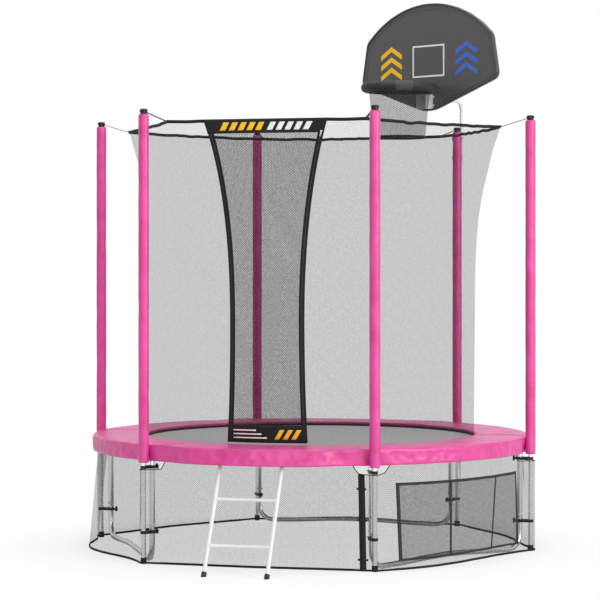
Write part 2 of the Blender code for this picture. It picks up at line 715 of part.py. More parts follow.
def door_hinge():
    """The seam stands in the middle of the door gap, at the outer face of the net."""
    angle = DOOR_ANGLE + door_half_angle(DOOR_WAIST_HEIGHT, DOOR_GAP / 2)
    return polar(net_radius(angle, DOOR_WAIST_HEIGHT) + NET_THICKNESS / 2, angle)


def build_door(root, netting):
    """Net flap that fills the doorway and swings on the seam at its +X side."""
    hinge = door_hinge()
    seam = empty("door_seam", root, hinge)
    rows = []
    for height in net_heights(DOOR_BOTTOM, DOOR_TOP):
        half = door_half_angle(height, DOOR_GAP)
        spans = [DOOR_ANGLE + mix(-half, half, k / DOOR_COLUMNS) for k in range(DOOR_COLUMNS + 1)]
        rows.append([net_point(a, height) - hinge for a in spans])
    place("door_flap", sheet(rows, NET_THICKNESS), netting, seam)


# Ground skirt


def skirt_shares():
    """Places of the columns across one sector, closest together beside the poles."""
    near = (0.0, SKIRT_WRAP_SHARE / 2, SKIRT_WRAP_SHARE, SKIRT_DIP_SHARE, 2 * SKIRT_DIP_SHARE, 1 / 3)
    return list(near) + [0.5] + [1.0 - s for s in reversed(near[1:])]


def skirt_levels():
    """Levels down the skirt as shares of its height; two of them carry the pocket's edges."""
    top = FRAME_BOTTOM - SEAT_GAP
    height = top - SKIRT_HEM
    marks = (POCKET_TOP, mix(POCKET_TOP, POCKET_BOTTOM, 0.5), POCKET_BOTTOM)
    return [0.0] + [(top - z) / height for z in marks] + [1.0]


def skirt_point(sector, share, level, stand_off=0.0):
    """The skirt wraps round the poles, hangs from the frame between them and meets the ground."""
    from_pole = min(share, 1.0 - share)
    wrap = smooth_step(1.0 - from_pole / SKIRT_WRAP_SHARE)
    dip = smooth_step((SKIRT_DIP_SHARE - from_pole) / (SKIRT_DIP_SHARE - SKIRT_WRAP_SHARE))
    top_radius = mix(FRAME_RADIUS, SKIRT_WRAP_RADIUS, wrap)
    top_height = mix(FRAME_BOTTOM - SEAT_GAP, SKIRT_DIP_TOP, dip)
    straight = SKIRT_WRAP_RADIUS * math.cos(SECTOR / 2) / math.cos((share - 0.5) * SECTOR)
    bulge, peak = SKIRT_BULGES[sector % len(SKIRT_BULGES)]
    swell = math.sin(math.pi * share ** (math.log(0.5) / math.log(peak))) ** 2
    hem_radius = straight + bulge * swell
    radius = mix(top_radius, hem_radius, level) + stand_off
    return polar(radius, (sector + share) * SECTOR, mix(top_height, SKIRT_HEM, level))


def build_skirt(root, netting, pocket_net):
    places = [(k, share) for k in range(POLE_COUNT) for share in skirt_shares()]
    levels = skirt_levels()
    rows = [[skirt_point(k, share, level) for k, share in places] for level in levels]
    place("skirt_net", sheet(rows, SKIRT_THICKNESS, wrap=True), netting, root)
    columns = [share for share in skirt_shares() if min(share, 1.0 - share) >= SKIRT_DIP_SHARE]
    panel = [[skirt_point(POCKET_SECTOR, share, level, POCKET_STAND_OFF) for share in columns]
             for level in levels[1:-1]]
    place("skirt_pocket", sheet(panel, POCKET_THICKNESS), pocket_net, root)


# Ladder


def hook_mesh(x):
    """Hook of flat bar that curls over the frame tube, with a tongue down into the rail."""
    steps = 14
    angles = [mix(HOOK_START, HOOK_END, k / steps) for k in range(steps + 1)]
    outline = [(HOOK_OUTER * math.cos(a), HOOK_OUTER * math.sin(a)) for a in angles]
    outline += [(HOOK_INNER * math.cos(a), HOOK_INNER * math.sin(a)) for a in reversed(angles)]
    hook = prism(outline, x - HOOK_WIDTH / 2, x + HOOK_WIDTH / 2)
    middle = (HOOK_INNER + HOOK_OUTER) / 2
    start = Vector((math.cos(HOOK_START), math.sin(HOOK_START))) * middle
    along = rail_direction()
    end = Vector((RAIL_TOP_OFFSET, -RAIL_TOP_DROP)) - along * LADDER_TUBE_RADIUS
    side = Vector((-(end - start).y, (end - start).x)).normalized() * HOOK_WALL * 0.8
    tongue = prism([tuple(start + side), tuple(start - side), tuple(end - side), tuple(end + side)],
                   x - HOOK_WIDTH / 2, x + HOOK_WIDTH / 2)
    upright = Matrix(((0, 0, 1, 0), (-1, 0, 0, 0), (0, 1, 0, 0), (0, 0, 0, 1)))
    for mesh in (hook, tongue):
        mesh.transform(upright)
    return hook, tongue


def rail_foot():
    """Where the rail's line meets the ground, as (outward, up) from the hinge."""
    return Vector((LADDER_FOOT_REACH - LADDER_HINGE_RADIUS, -FRAME_HEIGHT))


def rail_direction():
    """Unit (outward, up) direction up the rail."""
    top = Vector((RAIL_TOP_OFFSET, -RAIL_TOP_DROP))
    return (top - rail_foot()).normalized()


def rail_point(x, distance):
    """Point on a rail, measured up from the ground; outward is -Y."""
    spot = rail_foot() + rail_direction() * distance
    return Vector((x, -spot.x, spot.y))


def build_ladder(root, white, black):
    """Two leaning rails with rungs, hung on the frame by hooks and free to swing on it."""
    hinge = empty("ladder_hinge", root, (0.0, -LADDER_HINGE_RADIUS, FRAME_HEIGHT))
    half = LADDER_SPACING / 2
    rise = rail_direction().y
    length = (FRAME_HEIGHT - RAIL_TOP_DROP) / rise
    across = (1.0, 0.0, 0.0)
    solids = []
    for x in (-half, half):
        low = rail_point(x, LADDER_FOOT_FLOOR + SEAT_GAP)
        solids.append(rod(low, rail_point(x, length), LADDER_TUBE_RADIUS, FRAME_SIDES, across))
        solids.extend(hook_mesh(x))
    for height in LADDER_RUNG_HEIGHTS:
        ends = [rail_point(x, height / rise) for x in (-half, half)]
        solids.append(rod(*ends, LADDER_RUNG_RADIUS, THIN_TUBE_SIDES, (0.0, 0.0, 1.0)))
    place("ladder", fuse(*solids), white, hinge)
    for name, x in (("ladder_foot_left", -half), ("ladder_foot_right", half)):
        place(name, ladder_foot(x), black, hinge)


def ladder_foot(x):
    """Rubber foot round the end of a rail, cut level where it stands on the ground."""
    across = (1.0, 0.0, 0.0)
    below = -LADDER_FOOT_LENGTH
    body = rod(rail_point(x, below), rail_point(x, LADDER_FOOT_LENGTH), LADDER_FOOT_RADIUS,
               FRAME_SIDES, across)
    bm = bmesh.new()
    bm.from_mesh(body)
    cut = bmesh.ops.bisect_plane(bm, geom=[*bm.verts, *bm.edges, *bm.faces], plane_co=(0, 0, -FRAME_HEIGHT),
                                 plane_no=(0, 0, -1), clear_outer=True)
    edges = [e for e in cut["geom_cut"] if isinstance(e, bmesh.types.BMEdge)]
    bmesh.ops.edgeloop_fill(bm, edges=edges)
    bore = rod(rail_point(x, LADDER_FOOT_FLOOR), rail_point(x, 2 * LADDER_FOOT_LENGTH),
               LADDER_TUBE_RADIUS + SEAT_GAP, FRAME_SIDES, across)
    return combine(to_mesh("foot", bm), bore, "DIFFERENCE")


# Basketball set


def board_outline():
    """Arched top, sloping sides and a blunt point below, as (across, height)."""
    half = BOARD_SHOULDER_HALF_WIDTH
    sagitta = BOARD_TOP - BOARD_SHOULDER_HEIGHT
    radius = (half ** 2 + sagitta ** 2) / (2 * sagitta)
    spread = math.asin(half / radius)
    centre = BOARD_TOP - radius
    side = (BOARD_CORNER_HEIGHT, BOARD_CORNER_ROUND)
    corners = [(0.0, BOARD_BOTTOM - BOARD_POINT_DROP, BOARD_POINT_ROUND), (BOARD_HALF_WIDTH, *side)]
    steps = 10
    for k in range(steps + 1):
        angle = mix(spread, -spread, k / steps)
        fillet = BOARD_SHOULDER_ROUND if k in (0, steps) else 0.0
        corners.append((radius * math.sin(angle), centre + radius * math.cos(angle), fillet))
    corners.append((-BOARD_HALF_WIDTH, *side))
    return rounded(corners)


def board_mesh():
    """Moulded board: a flat face with a lip turned back all round its edge."""
    upright = Matrix(((0, 0, 1, 0), (1, 0, 0, 0), (0, 1, 0, 0), (0, 0, 0, 1)))
    bm = bmesh.new()
    bm.from_mesh(prism(board_outline(), 0.0, BOARD_DEPTH))
    back = max(bm.faces, key=lambda f: f.calc_center_median().z)
    bmesh.ops.inset_region(bm, faces=[back], thickness=BOARD_LIP)
    floor = bmesh.ops.extrude_face_region(bm, geom=[back])["geom"]
    bmesh.ops.delete(bm, geom=[back], context="FACES_ONLY")
    sunk = [v for v in floor if isinstance(v, bmesh.types.BMVert)]
    bmesh.ops.translate(bm, verts=sunk, vec=(0.0, 0.0, BOARD_SKIN - BOARD_DEPTH))
    mesh = to_mesh("board", bm)
    mesh.transform(Matrix.Translation((BOARD_DISTANCE, 0.0, 0.0)) @ upright)
    return mesh


def rim_mesh():
    profile = []
    for k in range(FRAME_SIDES):
        angle = 2 * math.pi * k / FRAME_SIDES - math.pi / 2
        profile.append((RIM_RADIUS + RIM_FOAM_RADIUS * math.cos(angle), RIM_FOAM_RADIUS * math.sin(angle)))
    return lathe(profile, RING_STEPS // 2, closed=True)


def hoop_net_mesh():
    """Tapered net tube that hangs from the lower inside of the rim."""
    lean = 2 * math.pi / FRAME_SIDES
    top_radius = RIM_RADIUS - RIM_FOAM_RADIUS * math.sin(lean)
    top = RIM_HEIGHT - RIM_FOAM_RADIUS * math.cos(lean) - 2 * SEAT_GAP
    sides = RING_STEPS // 2
    rows = []
    for k in range(4):
        share = k / 3
        radius = mix(top_radius, HOOP_NET_BOTTOM_RADIUS, share ** HOOP_NET_TAPER)
        height = mix(top, HOOP_NET_BOTTOM, share) - RIM_HEIGHT
        rows.append([polar(radius, 2 * math.pi * i / sides, height) for i in range(sides)])
    return sheet(rows, NET_THICKNESS, wrap=True)


def bracket_mesh():
    """Folded steel bracket on the front of the board, open at the front and below."""
    top = RIM_HEIGHT - RIM_FOAM_RADIUS - SEAT_GAP
    back = BOARD_DISTANCE - SEAT_GAP
    front = RIM_DISTANCE + RIM_RADIUS - RIM_FOAM_RADIUS / 3
    half = BRACKET_WIDTH / 2
    body = box((front, -half, top - BRACKET_DROP), (back, half, top))
    hollow = box((front - BRACKET_WALL, -half + BRACKET_WALL, top - BRACKET_DROP - BRACKET_WALL),
                 (back - BRACKET_WALL, half - BRACKET_WALL, top - BRACKET_WALL))
    return combine(body, hollow, "DIFFERENCE")


def arm_mesh():
    """Bent arm outside a pole sleeve, held by two bands, with a plate on the board's back."""
    plate_front = BOARD_DISTANCE + BOARD_SKIN + SEAT_GAP
    path = [(ARM_DISTANCE, 0.0, ARM_BOTTOM)]
    steps = 5
    for k in range(steps + 1):
        angle = math.pi / 2 * k / steps
        path.append((ARM_DISTANCE - ARM_BEND * (1 - math.cos(angle)), 0.0,
                     ARM_TOP - ARM_BEND * (1 - math.sin(angle))))
    path.append((plate_front + ARM_PLATE_THICKNESS / 2, 0.0, ARM_TOP))
    arm = tube(path, [ARM_RADIUS] * len(path), FRAME_SIDES, (0.0, 1.0, 0.0))
    plate_low = ARM_TOP - ARM_PLATE_HEIGHT / 4
    plate_back = plate_front + ARM_PLATE_THICKNESS
    plate = box((plate_front, -ARM_PLATE_WIDTH / 2, plate_low),
                (plate_back, ARM_PLATE_WIDTH / 2, plate_low + ARM_PLATE_HEIGHT))
    solids = [arm, plate]
    inner = SLEEVE_RADIUS + SEAT_GAP
    outer = inner + ARM_BAND_WALL
    for height in ARM_BAND_HEIGHTS:
        low, high = height - ARM_BAND_DEPTH / 2, height + ARM_BAND_DEPTH / 2
        band = lathe([(inner, low), (outer, low), (outer, high), (inner, high)], TUBE_SIDES, closed=True)
        band.transform(Matrix.Translation((POLE_CIRCLE_RADIUS, 0.0, 0.0)))
        solids.append(band)
    return fuse(*solids)


def build_hoop(root, board_plastic, foam, netting, steel):
    axis = empty("hoop_axis", root, turn=HOOP_POLE * SECTOR)
    place("backboard", board_mesh(), board_plastic, axis)
    place("rim", rim_mesh(), foam, axis, (RIM_DISTANCE, 0.0, RIM_HEIGHT))
    place("hoop_net", hoop_net_mesh(), netting, axis, (RIM_DISTANCE, 0.0, RIM_HEIGHT))
    place("rim_bracket", bracket_mesh(), steel, axis)
    place("hoop_arm", arm_mesh(), steel, axis)


def middle_shift():
    """How far the axis stands behind the middle of the assembly, ladder feet included."""
    foot = LADDER_FOOT_RADIUS * math.cos(math.pi / FRAME_SIDES) / rail_direction().y
    return (LADDER_FOOT_REACH + foot - PAD_OUTER_RADIUS) / 2


def main():
    clear_scene()
    steel = principled("galvanised steel", (0.62, 0.63, 0.65), 0.35, 1.0)
    sleeve_vinyl = principled("pink sleeve vinyl", (0.74, 0.09, 0.33), 0.45)
    pad_vinyl = principled("pink pad vinyl", (0.76, 0.10, 0.34), 0.5)
    black = principled("black moulding", (0.012, 0.012, 0.013), 0.5)
    weave = principled("grey mat weave", (0.42, 0.42, 0.42), 0.8)
    netting = principled("grey netting", (0.30, 0.30, 0.30), 0.9)
    pocket_net = principled("dark netting", (0.16, 0.16, 0.16), 0.9)
    white = principled("white ladder paint", (0.85, 0.85, 0.85), 0.35)
    board_plastic = principled("dark board plastic", (0.07, 0.07, 0.07), 0.55)
    rim_foam = principled("black rim foam", (0.02, 0.02, 0.022), 0.6)
    root = empty("trampoline", location=(0.0, middle_shift(), 0.0))
    build_frame(root, steel)
    build_legs(root, steel)
    build_poles(root, steel, sleeve_vinyl, black)
    build_clamps(root, black)
    build_mat(root, weave, steel)
    build_pad(root, pad_vinyl)
    build_net(root, netting)
    build_door(root, netting)
    build_skirt(root, netting, pocket_net)
    build_ladder(root, white, black)
    build_hoop(root, board_plastic, rim_foam, netting, steel)


main()
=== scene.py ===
"""Looks of the trampoline: vinyl, nets, zips, springs, hoop set, ladder and steel."""

import math
from contextlib import contextmanager

import bmesh
import bpy
from mathutils import Matrix, Vector, noise


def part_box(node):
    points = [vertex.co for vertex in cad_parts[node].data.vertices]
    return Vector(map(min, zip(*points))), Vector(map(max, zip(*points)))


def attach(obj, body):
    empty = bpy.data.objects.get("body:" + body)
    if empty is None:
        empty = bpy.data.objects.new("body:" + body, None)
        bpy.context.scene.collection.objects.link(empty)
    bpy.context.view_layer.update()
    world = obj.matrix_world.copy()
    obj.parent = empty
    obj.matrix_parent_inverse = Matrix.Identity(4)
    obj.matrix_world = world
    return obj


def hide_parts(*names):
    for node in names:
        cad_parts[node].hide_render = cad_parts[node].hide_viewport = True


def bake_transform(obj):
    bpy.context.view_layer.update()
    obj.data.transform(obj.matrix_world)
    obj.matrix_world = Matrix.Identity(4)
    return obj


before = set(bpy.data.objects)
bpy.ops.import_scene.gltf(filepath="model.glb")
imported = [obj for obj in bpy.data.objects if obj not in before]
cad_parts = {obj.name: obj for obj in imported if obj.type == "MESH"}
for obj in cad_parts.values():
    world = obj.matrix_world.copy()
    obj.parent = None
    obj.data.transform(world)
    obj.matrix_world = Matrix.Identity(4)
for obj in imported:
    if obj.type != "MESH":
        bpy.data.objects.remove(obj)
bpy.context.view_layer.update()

MAT_LOW, MAT_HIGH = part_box("mat")
AXIS = Vector(((MAT_LOW.x + MAT_HIGH.x) / 2, (MAT_LOW.y + MAT_HIGH.y) / 2, 0))
UP = Vector((0, 0, 1))

# Ring and poles, in metres
POLE_COUNT = 6
POLE_TURN = math.radians(60)
POLE_CIRCLE = 1.26
FRAME_RADIUS = 1.20
FRAME_HEIGHT = 0.592
MAT_RADIUS = 0.985
MAT_TOP = 0.609
SPRING_COUNT = 48

# Enclosure net
NET_BOTTOM_RADIUS = 0.925
NET_WALL_RADIUS = 0.932
NET_CORNER_RADIUS = 1.095
NET_FLARE_HEIGHT = 1.40
NET_TOP = 2.362
NET_BAND = 0.017
NET_FOOT = MAT_TOP + 0.003
DOOR_ANGLE = math.radians(270)
DOOR_BOTTOM = 0.6469
DOOR_TOP = 2.3441
DOOR_WAIST_HEIGHT = 1.27
DOOR_WAIST_HALF = 0.19
DOOR_TOP_HALF = 0.307
DOOR_BOTTOM_HALF = 0.205

# Ground skirt
SKIRT_WRAP_RADIUS = 1.285
SKIRT_TOP = 0.5727
SKIRT_DIP_TOP = 0.501
SKIRT_HEM = 0.003
SKIRT_WRAP_SHARE = 0.05
SKIRT_DIP_SHARE = 0.10
SKIRT_BULGES = ((0.06, 0.5), (0.05, 0.5), (0.05, 0.5), (0.14, 0.45), (0.02, 0.5), (0.08, 0.3))
POCKET_SECTOR = 5
POCKET_LOW = 0.050
POCKET_HIGH = 0.452
POCKET_SHARES = (0.10, 0.90)

# Pad
PAD_INNER = 0.934
PAD_OUTER = 1.229
PAD_TOP = 0.637
VALANCE_BOTTOM = 0.545

# Hoop set, measured along its own axis at the second pole
HOOP_TURN = math.radians(60)
RIM_DISTANCE = 0.745
RIM_HEIGHT = 2.630
RIM_RADIUS = 0.1995
FOAM_RADIUS = 0.030
HOOP_NET_BOTTOM = 2.330
HOOP_NET_TOP_RADIUS = 0.182
HOOP_NET_BOTTOM_RADIUS = 0.150
BOARD_DISTANCE = 1.00
ARM_BAND_HEIGHTS = (2.230, 2.345)

# Sewn edges
WEBBING_THICKNESS = 0.003
TAPE_THICKNESS = 0.002
BINDING_THICKNESS = 0.0018
EDGE_LIFT = 0.001
SEAM_RADIUS = 0.0016
PIPING_RADIUS = 0.0022


def mix(a, b, share):
    return a + (b - a) * share


def spread(low, high, steps):
    """Values from low to high in even steps."""
    return [mix(low, high, i / steps) for i in range(steps + 1)]


def turns(count):
    """Angles of one full round."""
    return [2 * math.pi * i / count for i in range(count)]


def clamp(value):
    return min(max(value, 0.0), 1.0)


def smooth(value):
    value = clamp(value)
    return value * value * (3 - 2 * value)


def polar(radius, angle, height):
    return Vector((AXIS.x + radius * math.cos(angle), AXIS.y + radius * math.sin(angle), height))


def from_axis(point):
    return Vector((point.x - AXIS.x, point.y - AXIS.y, 0)).normalized()


def from_door(angle):
    """Angle between a point of the ring and the middle of the door."""
    return abs((angle - DOOR_ANGLE + math.pi) % (2 * math.pi) - math.pi)


def ring_noise(angle, reach, depth):
    """Noise that closes on itself round the ring, finer with a longer reach."""
    return noise.noise(Vector((math.cos(angle) * reach, math.sin(angle) * reach, depth)))


def srgb(red, green, blue):
    """Scene-linear colour from 8-bit screen values."""
    out = []
    for value in (red, green, blue):
        share = value / 255
        out.append(share / 12.92 if share <= 0.04045 else ((share + 0.055) / 1.055) ** 2.4)
    return (*out, 1.0)


# Materials: an input given as a socket is linked, and any other is set


def wire(made, node, inputs):
    """Fills a node's inputs, by name with underscores for spaces, or by number."""
    for key, value in inputs.items():
        socket = node.inputs[key.replace("_", " ") if isinstance(key, str) else key]
        if isinstance(value, bpy.types.NodeSocket):
            made.node_tree.links.new(value, socket)
        else:
            socket.default_value = value
    return node


def add(made, kind, **inputs):
    return wire(made, made.node_tree.nodes.new("ShaderNode" + kind), inputs)


def feed(made, **inputs):
    """Inputs of the material's own shader."""
    wire(made, made.node_tree.nodes["Principled BSDF"], inputs)


def material(name, colour, rough, **inputs):
    made = bpy.data.materials.new(name)
    made.use_nodes = True
    feed(made, Base_Color=colour, Roughness=rough, **inputs)
    return made


def placed(made, source, **mapped):
    """Coordinates of the piece itself, stretched or turned."""
    start = add(made, "TexCoord").outputs[source]
    return add(made, "Mapping", Vector=start, **mapped).outputs["Vector"]


def grain(made, scale, detail=3.0, stretch=(1, 1, 1)):
    spot = placed(made, "Object", Scale=stretch)
    return add(made, "TexNoise", Vector=spot, Scale=scale, Detail=detail).outputs["Fac"]


def stripes(made, pitch, turn, source):
    """Soft parallel lines at a pitch in metres, turned in the sheet."""
    spot = placed(made, source, Rotation=(0, 0, turn))
    return add(made, "TexWave", Vector=spot, Scale=2 * math.pi / 20 / pitch).outputs["Fac"]


def ranged(made, value, low, high, start=0.3, end=0.7):
    """Maps a value from start..end to low..high."""
    limits = {"From_Min": start, "From_Max": end, "To_Min": low, "To_Max": high}
    return add(made, "MapRange", Value=value, **limits).outputs["Result"]


def computed(made, operation, first, second):
    node = add(made, "Math")
    node.operation = operation
    return wire(made, node, {0: first, 1: second}).outputs["Value"]


def tint(made, value, low, high, start=0.3, end=0.7):
    """Base colour runs from low to high as the value goes from start to end."""
    node = add(made, "Mix")
    node.data_type = "RGBA"
    wire(made, node, {"Factor": ranged(made, value, 0, 1, start, end), 6: low, 7: high})
    feed(made, Base_Color=node.outputs[2])


def bump(made, height, distance, strength):
    node = add(made, "Bump", Strength=strength, Distance=distance, Height=height)
    feed(made, Normal=node.outputs["Normal"])


def patchy(made, scale, low, high):
    """Roughness that varies between two values."""
    feed(made, Roughness=ranged(made, grain(made, scale), low, high))


def vinyl(name, low, high, rough):
    made = material(name, high, rough, Specular_IOR_Level=0.5, Coat_Weight=0.5, Coat_Roughness=0.42)
    tint(made, grain(made, 9, 4), low, high)
    bump(made, grain(made, 55, 5), 0.0012, 0.35)
    return made


def netting(name, thread, cover, pitch=0.008):
    """Knitted net: crossing threads hold back part of the light, a little unevenly."""
    made = material(name, thread, 0.7, Specular_IOR_Level=0.2)
    threads = [stripes(made, pitch, math.radians(turn), "UV") for turn in (52, -52)]
    lines = computed(made, "MAXIMUM", *threads)
    knit = ranged(made, lines, 0.2 * cover, 1.34 * cover, 0, 1)
    uneven = ranged(made, grain(made, 110, 2), 0.86, 1.14)
    feed(made, Alpha=computed(made, "MULTIPLY", knit, uneven))
    return made


def woven(name, low, high, pitch, source="UV"):
    """Flat cloth or tape with a fine basket weave."""
    made = material(name, high, 0.8, Specular_IOR_Level=0.3)
    cross = [stripes(made, pitch, turn, source) for turn in (0, math.pi / 2)]
    weave = computed(made, "MULTIPLY", *cross)
    tint(made, weave, low, high, 0, 0.6)
    bump(made, weave, pitch * 0.15, 0.4)
    return made


def moulded(name, colour, rough, grit, gloss=0.5):
    """Plastic or paint with a fine surface grain."""
    made = material(name, colour, rough, Specular_IOR_Level=gloss)
    bump(made, grain(made, grit, 4), 0.0004, 0.3)
    patchy(made, 30, rough - 0.06, rough + 0.06)
    return made


def metal(name, colour, rough, bare=1.0):
    """Steel; a zinc coat leaves it less than fully bare."""
    made = material(name, colour, rough, Metallic=bare)
    patchy(made, 40, rough - 0.05, rough + 0.08)
    return made


def spun(name, low, high):
    """Twisted sewing thread."""
    made = material(name, high, 0.7)
    twist = grain(made, 900, 2, (1, 1, 3))
    tint(made, twist, low, high)
    bump(made, twist, 0.0003, 0.5)
    return made


def printed(name, low, high):
    """Screen ink that lies a little unevenly."""
    made = material(name, high, 0.5)
    tint(made, grain(made, 60, 5), low, high)
    patchy(made, 220, 0.42, 0.58)
    return made


SLEEVE_VINYL = vinyl("sleeve_vinyl", srgb(200, 36, 126), srgb(220, 66, 156), 0.44)
PAD_VINYL = vinyl("pad_vinyl", srgb(202, 40, 128), srgb(218, 64, 152), 0.46)
NETTING = netting("netting", srgb(36, 36, 36), 0.25)
SKIRT_NETTING = netting("skirt_netting", srgb(40, 40, 40), 0.26)
DOOR_NETTING = netting("door_netting", srgb(24, 24, 24), 0.59, 0.007)
POCKET_NETTING = netting("pocket_netting", srgb(40, 40, 40), 0.48, 0.007)
HOOP_NETTING = netting("hoop_netting", srgb(44, 44, 44), 0.36, 0.010)
WEBBING = woven("webbing", srgb(18, 18, 19), srgb(34, 34, 36), 0.003)
BINDING = woven("binding", srgb(38, 39, 38), srgb(58, 60, 58), 0.003)
THREAD = spun("thread", srgb(80, 80, 82), srgb(106, 106, 108))
PALE_THREAD = spun("pale_thread", srgb(226, 138, 180), srgb(242, 160, 198))
CORD = woven("cord", srgb(20, 20, 21), srgb(44, 44, 46), 0.004)
BLACK_PLASTIC = moulded("black_plastic", srgb(15, 15, 16), 0.42, 260, 0.35)
STEEL = metal("galvanised_steel", srgb(238, 238, 240), 0.22)
BRIGHT_STEEL = metal("bright_steel", srgb(236, 236, 240), 0.30)
ZINC_PLATE = metal("zinc_plate", srgb(222, 222, 224), 0.5, 0.45)
SPRING_STEEL = metal("spring_steel", srgb(190, 190, 195), 0.3)
ZIP_METAL = metal("zip_metal", srgb(176, 178, 182), 0.35)
ZIP_COIL = moulded("zip_coil", srgb(30, 30, 31), 0.4, 400)
WHITE_PAINT = moulded("white_paint", srgb(228, 228, 228), 0.3, 180)
COLLAR = moulded("pale_collar", srgb(232, 232, 232), 0.4, 180)
MAT_WEAVE = woven("mat_weave", srgb(166, 166, 166), srgb(190, 190, 190), 0.006, "Object")
BOARD_PLASTIC = moulded("board_plastic", srgb(74, 73, 72), 0.48, 320)
BOARD_EDGE = moulded("board_edge", srgb(52, 52, 52), 0.4, 320)
RIM_FOAM = moulded("rim_foam", srgb(30, 30, 31), 0.7, 420)
RIM_TAPE = woven("rim_tape", srgb(60, 60, 62), srgb(84, 84, 86), 0.003)
PRINT_WHITE = printed("print_white", srgb(230, 230, 230), srgb(242, 242, 242))
PRINT_YELLOW = printed("print_yellow", srgb(240, 184, 26), srgb(250, 198, 36))
PRINT_BLUE = printed("print_blue", srgb(50, 92, 190), srgb(64, 106, 206))


# Mesh helpers

SHARP_ANGLE = math.radians(35)
TURNED_SHARP_ANGLE = math.radians(40)


def new_piece(name, mesh):
    obj = bpy.data.objects.new(name, mesh)
    bpy.context.scene.collection.objects.link(obj)
    return obj


@contextmanager
def filled(mesh, sources):
    """Opens the source meshes together for edits, and puts the result in the mesh."""
    work = bmesh.new()
    for source in sources:
        work.from_mesh(source)
    yield work
    work.to_mesh(mesh)
    work.free()


def run_lengths(points):
    """Length of a closed line up to each of its points."""
    lengths = [0.0]
    for first, second in zip(points, points[1:] + points[:1]):
        lengths.append(lengths[-1] + (second - first).length)
    return lengths


def grid(name, rows, close_rows=False, close_columns=False):
    """A quad sheet through rows of points, its UV map in metres along and up."""
    count, width = len(rows), len(rows[0])
    points = [point for row in rows for point in row]
    faces = []
    for i in range(count if close_rows else count - 1):
        for j in range(width if close_columns else width - 1):
            up, along = (i + 1) % count, (j + 1) % width
            faces.append((i * width + j, i * width + along, up * width + along, up * width + j))
    mesh = bpy.data.meshes.new(name)
    mesh.from_pydata(points, [], faces)
    across = run_lengths(rows[count // 2])
    upward = run_lengths([row[0] for row in rows])
    layer = mesh.uv_layers.new(name="UVMap")
    for face in mesh.polygons:
        i, j = divmod(face.vertices[0], width)
        corners = ((j, i), (j + 1, i), (j + 1, i + 1), (j, i + 1))
        for loop, (u, v) in zip(face.loop_indices, corners):
            layer.data[loop].uv = (across[u], upward[v])
    mesh.shade_smooth()
    return new_piece(name, mesh)


def baked(obj):
    """Turns the piece's modifiers into plain mesh."""
    graph = bpy.context.evaluated_depsgraph_get()
    mesh = bpy.data.meshes.new_from_object(obj.evaluated_get(graph))
    obj.modifiers.clear()
    obj.data = mesh
    return obj


def thicken(obj, thickness, offset=0.0):
    solid = obj.modifiers.new("Solidify", "SOLIDIFY")
    solid.thickness = thickness
    solid.offset = offset
    return baked(obj)


def bevelled(obj, width, segments):
    edge = obj.modifiers.new("Bevel", "BEVEL")
    edge.width = width
    edge.segments = segments
    edge.limit_method = "ANGLE"
    edge.angle_limit = SHARP_ANGLE
    return baked(obj)


def band(name, rows, thickness, **closed):
    """A closed flat band with the given thickness."""
    return thicken(grid(name, rows, **closed), thickness)


def cap_ends(obj):
    """Closes the open ends of a rod."""
    with filled(obj.data, [obj.data]) as work:
        rim = [edge for edge in work.edges if edge.is_boundary]
        bmesh.ops.holes_fill(work, edges=rim, sides=0)
        bmesh.ops.recalc_face_normals(work, faces=work.faces)
    return obj


def hoop(centre, side, other, radius, sides):
    """Points round a centre in the plane of two directions."""
    return [
        centre + (side * math.cos(turn) + other * math.sin(turn)) * radius for turn in turns(sides)
    ]


def tube(name, path, radius, sides=10, closed=False):
    """A round rod along the path, carried without twist."""
    last = len(path) - 1
    rows = []
    side = None
    for i, point in enumerate(path):
        if closed:
            ahead = path[(i + 1) % len(path)] - path[i - 1]
        else:
            ahead = path[min(i + 1, last)] - path[max(i - 1, 0)]
        ahead.normalize()
        if side is None:
            side = ahead.orthogonal().normalized()
        side = (side - ahead * side.dot(ahead)).normalized()
        rows.append(hoop(point, side, ahead.cross(side), radius, sides))
    obj = grid(name, rows, close_rows=closed, close_columns=True)
    return obj if closed else cap_ends(obj)


def turned(name, profile, origin, axis, sides=24):
    """A turned solid from (radius, along) pairs about an axis through origin."""
    axis = Vector(axis).normalized()
    side = axis.orthogonal().normalized()
    other = axis.cross(side)
    rows = [hoop(origin + axis * along, side, other, radius, sides) for radius, along in profile]
    obj = cap_ends(grid(name, rows, close_columns=True))
    obj.data.set_sharp_from_angle(angle=TURNED_SHARP_ANGLE)
    return obj


def bolt(origin, axis, radius):
    """Domed bolt head on a washer."""
    shape = ((1.5, 0), (1.5, 0.25), (1, 0.25), (1, 0.7), (0.7, 0.95), (0.1, 1))
    profile = [(radius * out, radius * along) for out, along in shape]
    return turned("head", profile, origin, axis, 16)


def joined(name, objects):
    """One piece from several."""
    mesh = bpy.data.meshes.new(name)
    with filled(mesh, [obj.data for obj in objects]):
        for obj in objects:
            bpy.data.objects.remove(obj)
    mesh.shade_smooth()
    return new_piece(name, mesh)


def dress(obj, look, body="frame", replaces=()):
    """Gives a finished piece its material and body, and hides the CAD nodes that it stands for."""
    obj.data.materials.clear()
    obj.data.materials.append(look)
    if body:
        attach(obj, body)
    if replaces:
        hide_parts(*replaces)
    return obj


